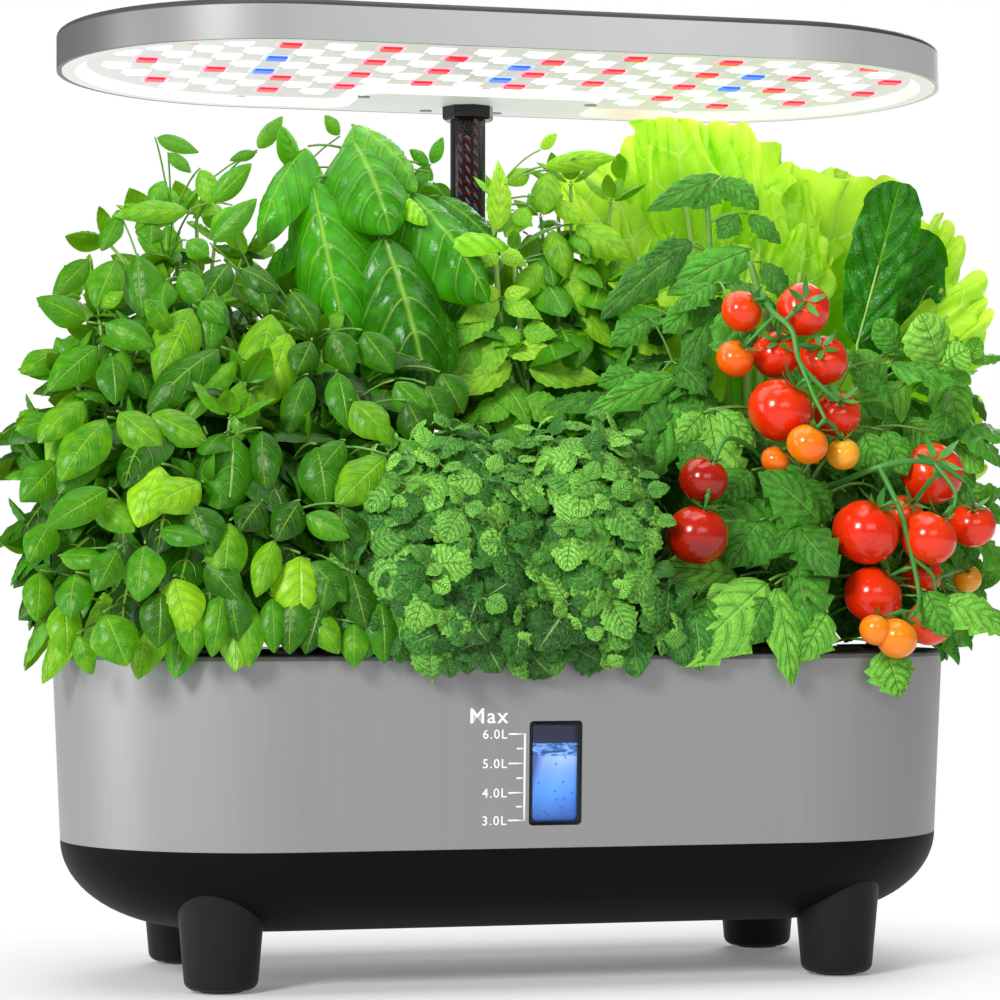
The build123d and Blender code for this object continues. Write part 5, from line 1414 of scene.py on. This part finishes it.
def plant_balm(name, seed, centre, radii, keep_out=None):
    """A dense low mound of small toothed, wrinkled leaves in crossed pairs."""
    rng, shape, pod = start_plant(name, seed, z_low=143.0)
    if keep_out:
        shape.room = outside_box(shape.room, *keep_out)
    centre, radii = np.array(centre, float), np.array(radii, float)
    for layer, (tips, deep) in enumerate(((120, 1.0), (66, 0.72))):
        for number in range(tips):
            height = 1.0 - 1.52 * (number + 0.5) / tips
            normal = spiral(number, height, rng, 0.25)
            point = centre + radii * normal * rng.uniform(0.88, 1.0) * deep
            if point[2] >= DECK_Z + 6 or point[1] <= -92:
                balm_whorl(shape, rng, centre, point, normal, radii, height, layer)
    for number in range(7):
        end = pod + (30 * math.cos(number * 0.9), 26 * math.sin(number * 0.9), 60)
        path = arc(pod, (pod + end) / 2 + (0, 0, 6), end, 7)
        tube(shape, path, 1.1, 0.25)
        shape.stems.extend(path)
    fill(shape, rng, centre, radii * 0.86, 80, 30, 0.10, BALM, share=0.84)
    from_front(shape, rng, BALM_RIM_LEAVES[name], sloping(-96.0, 0.12, 600), BALM, swing=0.2)
    shape.build(name + "_leaves", ["balm", "green_stem"], "deck", "balm_leaf", [name])


def compound_leaf(shape, path, size, tone, rng, face):
    """A tomato leaf: lobed leaflets in pairs along its rib and a broad one at the end."""
    leaflets = 2
    path = np.asarray(path, float)
    steps = len(path) - 1
    tangents = np.gradient(path, axis=0)
    up = unit(face)
    drawn = 0
    for number in range(leaflets):
        index = int((0.42 + 0.5 * number / leaflets) * steps)
        axis = unit(tangents[index])
        side = unit(np.cross(axis, up))
        for half in (-1, 1):
            direction = unit(side * half + axis * 0.45 + (0, 0, -0.12))
            grow = size * (0.72 + 0.12 * number) * rng.uniform(0.85, 1.1)
            drawn += put_leaf(
                shape, path[index], direction, up, grow, grow * 0.60, vary(rng, tone, -0.15, 0.15),
                stalk=0.12, bend=rng.uniform(0.5, 1.1), wave=0.14, phase=rng.uniform(0, 6), **LEAFLET,
            )
    drawn += put_leaf(
        shape, path[-1], tangents[-1], up, size * 1.15, size * 0.74, np.clip(tone + 0.05, 0, 1),
        stalk=0.08, bend=rng.uniform(0.4, 0.9), wave=0.14, phase=rng.uniform(0, 6), **LEAFLET,
    )
    if drawn:
        tube(shape, path, np.linspace(1.0, 0.6, len(path)), 0.25, 1)
        shape.stems.extend(path[2:])


def tomato(shape, centre, radius, ripe, top, look):
    """A fruit, slightly ribbed and flattened, dimpled where its stalk goes in."""
    rows, cols = 20, 29
    polar = np.linspace(0.0, np.pi, rows)[:, None]
    around = np.linspace(0, 2 * np.pi, cols)[None, :]
    size = radius * (1 + 0.012 * np.cos(5 * around) * np.sin(polar))
    x = size * np.sin(polar) * np.cos(around)
    y = size * np.sin(polar) * np.sin(around)
    dimple = 0.13 * np.exp(-((np.sin(polar) / 0.26) ** 2)) * (polar < 1.2)
    z = radius * (0.93 * np.cos(polar) - dimple) + 0 * around
    side = unit(np.cross(top, (0.3, 0.9, 0.2)))
    other = np.cross(top, side)
    centre = np.asarray(centre, float)
    points = centre + x[..., None] * side + y[..., None] * other + z[..., None] * top
    shape.grid(points, 1 - polar / np.pi + 0 * around, 0.0, ripe, look, free=True)
    return centre + top * radius * 0.82


def calyx(shape, point, top, size, rng, look):
    """Five green sepals, their tips turned up."""
    side = unit(np.cross(top, (0.3, 0.9, 0.2)))
    other = np.cross(top, side)
    turn = rng.uniform(0, 1.2)
    for number in range(5):
        out = spoke(side, other, turn + number * 2 * np.pi / 5 + rng.uniform(-0.15, 0.15))
        points, along, _ = leaf(
            size, size * 0.27, rows=9, cols=5, peak=0.32, full=0.9, laterals=1.0, pucker=0.0,
            cup=0.2, fold=0.3, bend=-rng.uniform(0.2, 1.0), curl=1.2,
        )
        sepal = placed(points, point + top * 0.6, unit(out + top * 0.12), top)
        shape.grid(sepal, along, 2.0, rng.uniform(0.3, 0.9), look, free=True)


def beside_fruit(room, fruit):
    """The same room less the fruit, given by centres and radii."""

    def test(points):
        gaps = np.linalg.norm(points[:, None, :] - fruit[None, :, :3], axis=2) - fruit[None, :, 3]
        return gaps.min() > 0.3

    return lambda points: room(points) and test(points)


def hang_fruit(shape, rng):
    """The trusses and their fruit, each tied to the nearest point of its truss."""
    fruit_look, truss_look = 2, 3
    lines = {group: [] for group in FRUIT}
    for group, radius, knots in TRUSSES:
        path = smooth_path(knots)
        tube(shape, path, np.linspace(radius, radius * 0.7, len(path)), 0.6, truss_look, 8)
        lines[group].append(path)
    for group, fruit in FRUIT.items():
        line = np.vstack(lines[group])
        for centre, radius, ripe, stalk_end in fruit:
            top = unit(np.array(stalk_end, float) - centre)
            top = unit(top + (0, -0.15, 0.2))
            point = tomato(shape, centre, radius, ripe, top, fruit_look)
            calyx(shape, point, top, radius * 0.95, rng, truss_look)
            knot = line[np.argmin(np.linalg.norm(line - point, axis=1))]
            stalk = arc(knot, (point + knot) / 2 + top * 2.0, point, 8)
            tube(shape, stalk, [1.0, 0.95, 0.9, 1.5, 1.2, 0.9, 0.85, 0.85], 0.5, truss_look, 7)


def plant_tomato_front():
    """The tomato plant with its three trusses."""
    rng, shape, pod = start_plant("tomato_front", 41)
    knots = [pod, (142, -50, 210), (134, -46, 270), (118, -44, 322), (112, -42, 344)]
    main_stem(shape, knots, 3.0, 1.6, 0.15)
    fruit = [(*centre, radius) for group in FRUIT.values() for centre, radius, *_ in group]
    shape.room = beside_fruit(shape.room, np.array(fruit))
    hang_fruit(shape, rng)
    from_front(shape, rng, TOMATO_FRONT_LEAVES, tomato_front_depth, LEAFLET, swing=0.25)
    for root, bow, end, size, tone, face in TOMATO_COMPOUND_LEAVES:
        compound_leaf(shape, arc(root, bow, end, 10), size, tone, rng, face)
    fill(shape, rng, (150, -58, 216), (58, 34, 60), 70, 40, 0.30, LEAFLET)
    fill(shape, rng, (164, -50, 182), (52, 38, 26), 36, 34, 0.30, LEAFLET, low=-0.2)
    places = [(-1.25, 150, 40), (-1.0, 156, 38)]
    end_drape(shape, rng, 1, places, tone=0.5, form=LEAFLET, share=0.6)
    shape.build(
        "tomato_front_fruit_and_leaves", ["tomato_leaf", "green_stem", "tomato", "truss"],
        "deck", "tomato_leaf", ["tomato_front"],
    )
    return rng


def plant_tomato_middle(rng):
    """The leafy tomato plant behind; its draws follow the front one's."""
    shape = Shape(roomy())
    knots = [pod_top("tomato_middle"), (94, -2, 230), (98, -6, 300), (102, -8, 350), (100, -10, 378)]
    main = main_stem(shape, knots, 2.4, 1.3, 0.15)
    count, low, high, reach = 8, 0.2, 0.62, 44
    for number in range(count):
        height = low + (high - low) * number / (count - 1)
        root = main[int(height * (len(main) - 1))]
        angle = GOLDEN_TURN * number + 0.6
        out = np.array([math.cos(angle), 0.75 * math.sin(angle), 0.0])
        end = root + out * reach * (1 - 0.35 * height) + (0, 0, 10 - 14 * (1 - height))
        path = arc(root, (root + end) / 2 + (0, 0, 12), end, 9)
        face = unit(out * 0.5 + (0, -0.2, 1))
        compound_leaf(shape, path, 34, 0.20 + 0.2 * rng.random(), rng, face)
    fill(shape, rng, (92, 4, 240), (46, 22, 66), 44, 38, 0.24, LEAFLET)
    from_front(shape, rng, TOMATO_TOP_LEAVES, sloping(-6.0, 0.12, 200), LEAFLET, swing=0.25)
    looks = ["tomato_leaf", "green_stem"]
    shape.build("tomato_middle_leaves", looks, "deck", "tomato_leaf", ["tomato_middle"])


def frilled(length, half_width, rng):
    """A lettuce leaf: a broad, softly creased sheet on a narrow foot, its rim gathered into frills."""
    rows, cols = 34, 97
    r = np.linspace(0.0, 1.0, rows)[:, None]
    t = np.linspace(-1, 1, cols)[None, :]
    shift = rng.uniform(0, 6, 12)
    opening = np.sin(np.pi / 2 * np.minimum(1, r / 0.70)) ** 1.2
    spread = half_width * (0.10 + 0.90 * opening) * (1 - 0.14 * r**6)
    side = np.sign(t)
    rim = np.maximum(r**9, np.abs(t) ** 7 * (0.25 + 0.75 * r))
    turn = 13 * t + 8 * r * side + shift[0] + 1.6 * np.sin(3.7 * t + shift[1])
    turn = turn + 0.8 * np.sin(9 * t + shift[2])
    lobe = rim * (4.2 + 1.6 * np.sin(5 * t + shift[3]))
    wide = 1 + 0.10 * np.sin(11 * r + shift[4] + 2 * side) * np.abs(t) ** 3
    x = spread * t * wide + lobe * np.sin(turn) * (1 - 0.5 * np.abs(t))
    crown = 1 - 0.26 * np.abs(t) ** 2.4 + 0.05 * np.sin(4.1 * t + shift[5]) - 0.04
    y = length * r * (1 + (crown - 1) * r**2) + lobe * np.cos(turn) * r**2
    ruffle = np.sin(turn + 1.3) + 0.30 * np.sin(2.3 * turn + shift[6])
    crease = 0.30 * np.sin(5 * t + 6 * r + shift[9]) + 0.22 * np.sin(13 * t - 7 * r + shift[10])
    crease = crease + 0.14 * np.sin(19 * r + 9 * t + shift[11]) * np.cos(7 * t - 11 * r + shift[7])
    z = 6.0 * rim * ruffle + 6.0 * crease * r**1.5
    z = z + half_width * 0.26 * t**2 - 0.13 * length * r**3 - rim * 6.0
    return np.stack([x, y, z], -1), r + 0 * t, t + 0 * r


def soft_limit(values, low, high, give=9.0):
    """Values that ease towards a limit instead of passing it."""
    top, foot = high - give, low + give
    values = np.where(values > top, top + give * np.tanh((values - high + give) / give), values)
    return np.where(values < foot, foot + give * np.tanh((values - low - give) / give), values)


def plant_lettuce():
    """Broad frilled sheets, placed from the front view, and plainer ones towards the back."""
    rng, shape, pod = start_plant("lettuce", 51, y_low=-8)
    sheets = [
        (seen(*base), seen(*tip), (-0.24, -0.95, 0.2), width * 0.5, tone)
        for base, tip, width, tone in LETTUCE_SHEETS
    ]
    for base, tip, face, width, tone in sheets + LETTUCE_BACK:
        base, tip = np.array(base, float), np.array(tip, float)
        length = np.linalg.norm(tip - base) * 1.04
        points, along, across = frilled(length, width / 2, rng)
        face = unit(np.array(face) + rng.uniform(-0.15, 0.15, 3))
        place = placed(points, base, tip - base, face)
        place[..., 0] = soft_limit(place[..., 0], 24.0, 262.0)
        place[..., 1] = soft_limit(place[..., 1], -4.0, 121.0)
        place[..., 2] = soft_limit(place[..., 2], DECK_Z + 5, 424.0, 5.0)
        light = tone + 0.45 * along**3 + 0.12 * np.abs(across) - 0.2
        if shape.grid(place, along, across, np.clip(light, 0, 1), 0):
            rib = place[::4, place.shape[1] // 2][:6]
            foot = pod + (base - pod) * (0.12, 0.12, 0.0)
            stalk = np.vstack([arc(foot, (foot + base) / 2 + (0, 0, 6), base, 6), rib[1:]])
            tube(shape, stalk, np.linspace(4.0, 1.0, len(stalk)), 1.0, 1, 8)
    shape.build("lettuce_leaves", ["lettuce", "green_stem"], "deck", "lettuce_leaf", ["lettuce"])


def plant_chard():
    """Dark crinkled leaves with a pale rib, over a skirt of rounder leaves."""
    rng, shape, pod = start_plant("chard_end", 61)
    shape.stems.append(pod)
    tall = (seen(*CHARD_TALL_FOOT), seen(*CHARD_TALL_TIP), (-0.24, -0.97, 0.0), 33, 0.42)
    for base, tip, face, width, tone in [tall] + CHARD_LEAVES:
        base, tip = np.array(base, float), np.array(tip, float)
        length = np.linalg.norm(tip - base) * 1.04
        if put_leaf(
            shape, base, tip - base, face, length, width, tone, stalk=0.0,
            phase=rng.uniform(0, 6), twist=rng.uniform(-0.2, 0.2), **CHARD,
        ):
            middle = (pod + base) / 2 + ((base[0] - pod[0]) * 0.1, 0, 6)
            rib = [base + (tip - base) * share for share in (0.25, 0.5)]
            stalk = np.vstack([arc(pod, middle, base, 10), *rib])
            tube(shape, stalk, np.linspace(2.2, 0.5, len(stalk)), 0.80, 1, 8)
            shape.stems.extend(stalk)
    fill(shape, rng, (206, 6, 236), (44, 24, 70), 50, 38, 0.42, ROUND_LEAF, look=2, share=0.8)
    from_front(shape, rng, CHARD_SIDE_LEAVES, sloping(-8.0, 0.06, 300), ROUND_LEAF, look=2)
    for end in CHARD_SHOOTS:
        end = np.array(end, float)
        start = pod + (rng.uniform(-4, 4), rng.uniform(-4, 4), 0)
        path = arc(start, (start + end) / 2 + (0, 0, 16), end, 12)
        shoot(shape, path, 32, 0.40, rng, share=0.78, pairs=3, start=0.5, look=2, **ROUND_LEAF)
    end_drape(shape, rng, 1, CHARD_DRAPE, look=2, tone=0.45, form=LEAFLET, share=0.6)
    shape.build("chard_leaves", ["chard", "green_stem", "tomato_leaf"], "deck", "chard_leaf", ["chard_end"])


plant_basils()
plant_large_basil()
plant_mint()
plant_balm("lemon_balm_left", 71, (-46, -68, 180), (58.0, 48.0, 80.0))
fruit_box = ((54, -125, 192), (100, -60, 300))
plant_balm("lemon_balm_right", 72, (18, -68, 182), (60.0, 48.0, 82.0), keep_out=fruit_box)
plant_tomato_middle(plant_tomato_front())
plant_lettuce()
plant_chard()


# ---------------------------------------------------------------- lamp, wires, window and scale


def led_centres(node):
    """The middle of each LED's corners, which lie closer together than two LEDs do."""
    apart = 9.5
    mesh = NODES[node].data
    points = np.zeros(len(mesh.vertices) * 3)
    mesh.vertices.foreach_get("co", points)
    groups = []
    for x, y, _ in points.reshape(-1, 3) / MM:
        for group in groups:
            if abs(group[0][0] - x) < apart and abs(group[0][1] - y) < apart:
                group.append((x, y))
                break
        else:
            groups.append([(x, y)])
    for group in groups:
        group = np.array(group)
        yield (group.min(0) + group.max(0)) / 2


def led_glare():
    """A painted glare patch round each LED, just under the board."""
    half, level = 6.7, 435.86
    across, along = np.meshgrid(np.linspace(-1, 1, 5), np.linspace(-1, 1, 5))
    shape = Shape()
    for kind, node in enumerate(("white_leds", "red_leds", "blue_leds")):
        for x, y in led_centres(node):
            patch = np.stack([x + half * across, y + half * along, level + 0 * across], -1)
            shape.grid(patch, across, along, float(kind))
    piece = shape.build("led_glare", ["glare"], "lamp", "board_white", attribute="tile")
    thicken(piece, "thickness", 0.1)


def screw_heads():
    """Dark heads of the lamp's four screws, level with the plate's face."""
    head_r, rows_apart = 3.3, 76
    mesh = NODES["lamp_screws"].data
    points = np.array([tuple(vertex.co) for vertex in mesh.vertices]) / MM
    shape = Shape()
    turn = np.linspace(0, 2 * np.pi, 25)[None, :]
    radius = np.linspace(0.0, head_r, 4)[:, None]
    for side in (-1, 1):
        for rear in (False, True):
            near = (np.sign(points[:, 0]) == side) & ((points[:, 1] > rows_apart) == rear)
            x, y = (points[near].min(0)[:2] + points[near].max(0)[:2]) / 2
            level = LAMP_Z - 0.12 + 0 * radius * turn
            disc = np.stack([x + radius * np.cos(turn), y + radius * np.sin(turn), level], -1)
            shape.grid(disc, 0.0, 0.0, 0.5)
    thicken(shape.build("lamp_screw_heads", ["collar"], "lamp", "steel"), "head", 0.16)


def lamp_lead():
    """Red, white and black strands twisted together, folded inside the pole as the lamp's slack."""
    bend, low, top, foot, end = 2.15, 172.0, 416.0, 372.0, 436.0
    step, strand_r, pitch = 0.8, 0.62, 5.5
    half_turn = np.linspace(0, math.pi, 9)[1:-1]
    path = np.array(
        [(-2 * bend, POLE_Y, z) for z in np.arange(low, top, step)]
        + [(-bend - bend * math.cos(a), POLE_Y, top + bend * math.sin(a)) for a in half_turn]
        + [(0.0, POLE_Y, z) for z in np.arange(top, foot, -step)]
        + [(bend - bend * math.cos(a), POLE_Y, foot - bend * math.sin(a)) for a in half_turn]
        + [(2 * bend, POLE_Y, z) for z in np.arange(foot, end, step)]
    )
    length = np.concatenate([[0], np.cumsum(np.linalg.norm(np.diff(path, axis=0), axis=1))])
    tangents = np.gradient(path, axis=0)
    tangents /= np.linalg.norm(tangents, axis=1)[:, None]
    other = np.tile((0.0, 1.0, 0.0), (len(path), 1))
    side = np.cross(tangents, other)
    shape = Shape()
    for strand in range(3):
        angle = (length / pitch * 2 * np.pi + strand * 2 * np.pi / 3)[:, None]
        tube(shape, path + strand_r * spoke(side, other, angle), strand_r, 0.5, strand, 6)
    shape.build("lamp_lead_strands", ["wire_red", "wire_white", "wire_black"], "lamp", "wire", ["lamp_wires"])


def wall_point(x, z, out):
    """A point on the leaning front wall, out from its face."""
    y = WALL_Y + (RIM_Z - z) * math.tan(WALL_LEAN)
    return np.array([x, y - out * math.cos(WALL_LEAN), z - out * math.sin(WALL_LEAN)])


def window_water():
    """The water's face behind the window's lens."""
    half_width, low, high, behind = 11.3, 77.7, 123.2, 2.24
    cols, rows = 9, 17
    shape = Shape()
    points = [
        [wall_point(x, z, -behind) for x in np.linspace(-half_width, half_width, cols)]
        for z in np.linspace(low, high, rows)
    ]
    up = np.linspace(0, 1, rows)[:, None]
    across = np.linspace(0, 1, cols)[None, :]
    shape.grid(np.array(points)[::-1], across, up[::-1], 0.0)
    thicken(shape.build("window_water", ["water"], "tank", "clear_lens", attribute="pane"), "depth", 0.06)


LITRES = (("6.0L", 118.6), ("5.0L", 105.1), ("4.0L", 91.6), ("3.0L", 78.9))
HALF_LITRES = (111.9, 98.3, 85.2)
INK_OUT = 0.06


def printed_scale():
    """The litre scale left of the window: an upright line, long and short marks."""
    shape = Shape()
    half_mark = 0.35
    bars = [(-15.2, -14.2, 78.6, 118.9)]
    bars += [(-22.4, -15.0, z - half_mark, z + half_mark) for _, z in LITRES]
    bars += [(-18.6, -15.0, z - half_mark, z + half_mark) for z in HALF_LITRES]
    for left, right, low, high in bars:
        lower, upper = (
            np.array([wall_point(left, z, INK_OUT), wall_point(right, z, INK_OUT)]) for z in (low, high)
        )
        rise = np.linspace(0, 1, 5)[:, None, None]
        shape.grid(lower[None] * (1 - rise) + upper[None] * rise, 0.0, 0.0, 0.5)
    thicken(shape.build("scale_marks", ["print"], "tank", "silver_grey"), "ink", 0.05)


def lettering(name, text, x, z, size, weight):
    """A printed word on the front wall; size and weight are in millimetres."""
    curve = bpy.data.curves.new(name, "FONT")
    curve.body = text
    curve.size = size * MM
    curve.extrude = 0.03 * MM
    curve.offset = weight * MM
    curve.space_character = 1.16
    curve.resolution_u = 3
    curve.materials.append(LOOKS["print"])
    piece = bpy.data.objects.new(name, curve)
    piece.location = wall_point(x, z, INK_OUT) * MM
    piece.rotation_euler = (math.pi / 2 + WALL_LEAN, 0, 0)
    bpy.context.scene.collection.objects.link(piece)
    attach(piece, "tank")


led_glare()
screw_heads()
lamp_lead()
window_water()
printed_scale()
for label, z in LITRES:
    lettering("label_" + label.replace(".0", "_"), label, -34.8, z - 2.0, 6.0, 0.03)
lettering("label_max", "Max", -41.2, 123.8, 9.8, 0.11)


# ---------------------------------------------------------------- floor, light and camera


def floor_look():
    """Pale ground that turns into plain white light away from the tank's plan."""
    look = Look("floor_pale")
    x, y, _ = look.split(look.node("NewGeometry").outputs["Position"])
    past = look.math("SUBTRACT", look.math("ABSOLUTE", x), END_X * MM)
    past = look.math("MAXIMUM", past, 0.0)
    away = look.math("ADD", look.math("POWER", past, 2.0), look.math("POWER", y, 2.0))
    fade = look.shade(look.math("SQRT", away), [(0.075, 0.17), (0.13, 0.62), (0.24, 1)])
    paint = look.principled(
        Base_Color=look.tone(look.noise(300.0, 2.0), (0.80, 0.80, 0.80), (0.82, 0.82, 0.82)),
        Roughness=0.65,
        Specular_IOR_Level=0.25,
    )
    white = look.node("Emission", Color=(1, 1, 1, 1), Strength=1.0).outputs[0]
    return look.blend(fade, paint, white)


def floor():
    """A wide disc just under the feet."""
    level, near, far = -0.3, 60, 9000
    radius = np.concatenate([[0.0], np.geomspace(near, far, 40)])[:, None]
    turn = np.linspace(0, 2 * np.pi, 49)[None, :]
    points = np.stack([radius * np.cos(turn), radius * np.sin(turn), level + 0 * radius * turn], -1)
    shape = Shape()
    shape.grid(points, 0.0, 0.0, 0.0)
    mesh = bpy.data.meshes.new("floor")
    mesh.from_pydata((shape.points[0] * MM).tolist(), [], shape.faces[0].tolist())
    mesh.materials.append(floor_look())
    plane = bpy.data.objects.new("floor", mesh)
    bpy.context.scene.collection.objects.link(plane)


# name, place, target, size in metres, watts, colour
LAMPS = (
    ("key", (-1.7, -1.7, 1.4), (0, 0, 0.2), (0.7, 0.7), 62, (1, 1, 1)),
    ("front", (0.3, -2.5, 1.2), (0, 0, 0.25), (1.4, 0.8), 12, (1, 1, 1)),
    ("top", (0.1, -0.2, 2.0), (0, 0, 0.2), (1.4, 0.9), 14, (1, 1, 1)),
    ("rear", (0.9, 1.8, 1.3), (0, 0, 0.25), (1.4, 1.2), 22, (1, 1, 1)),
    ("grow", (0.0, 0.0, 0.424), (0.0, 0.001, 0.0), (0.36, 0.15), 0.25, (1.0, 0.98, 0.96)),
    ("left", (-2.2, 0.1, 0.5), (0, 0, 0.15), (0.8, 1.0), 15, (1, 1, 1)),
)


def lamps():
    """The studio's area lights."""
    for name, place, target, size, power, colour in LAMPS:
        light = bpy.data.lights.new(name, "AREA")
        light.shape = "RECTANGLE"
        light.size, light.size_y = size
        light.energy = power
        light.color = colour
        holder = bpy.data.objects.new(name, light)
        holder.location = place
        aim = np.array(target, float) - np.array(place, float)
        holder.rotation_euler = Vector(aim).to_track_quat("-Z", "Y").to_euler()
        bpy.context.scene.collection.objects.link(holder)


def studio():
    """A world that looks white straight on and through glass, and lights the object softly."""
    world = bpy.data.worlds.new("studio")
    bpy.context.scene.world = world
    world.use_nodes = True
    tree = world.node_tree
    tree.nodes.clear()
    path, direct, mix, out = (
        tree.nodes.new("ShaderNode" + kind) for kind in ("LightPath", "Math", "MixShader", "OutputWorld")
    )
    direct.operation = "MAXIMUM"
    tree.links.new(path.outputs["Is Camera Ray"], direct.inputs[0])
    tree.links.new(path.outputs["Is Transmission Ray"], direct.inputs[1])
    tree.links.new(direct.outputs[0], mix.inputs[0])
    for place, strength in ((1, 0.17), (2, 1.0)):
        sky = tree.nodes.new("ShaderNodeBackground")
        sky.inputs["Color"].default_value = (1, 1, 1, 1)
        sky.inputs["Strength"].default_value = strength
        tree.links.new(sky.outputs[0], mix.inputs[place])
    tree.links.new(mix.outputs[0], out.inputs[0])


def camera():
    """The front view, which seen() also follows."""
    data = bpy.data.cameras.new("camera")
    data.lens = 117.0
    data.sensor_width = 36.0
    data.shift_x = -0.005
    data.shift_y = 0.087
    data.clip_start, data.clip_end = 0.05, 50.0
    holder = bpy.data.objects.new("camera", data)
    holder.location = EYE_PLACE
    holder.rotation_euler = (math.pi / 2, 0, EYE_TURN)
    bpy.context.scene.collection.objects.link(holder)
    bpy.context.scene.camera = holder


floor()
studio()
lamps()
camera()
bpy.context.scene.view_settings.view_transform = "Standard"
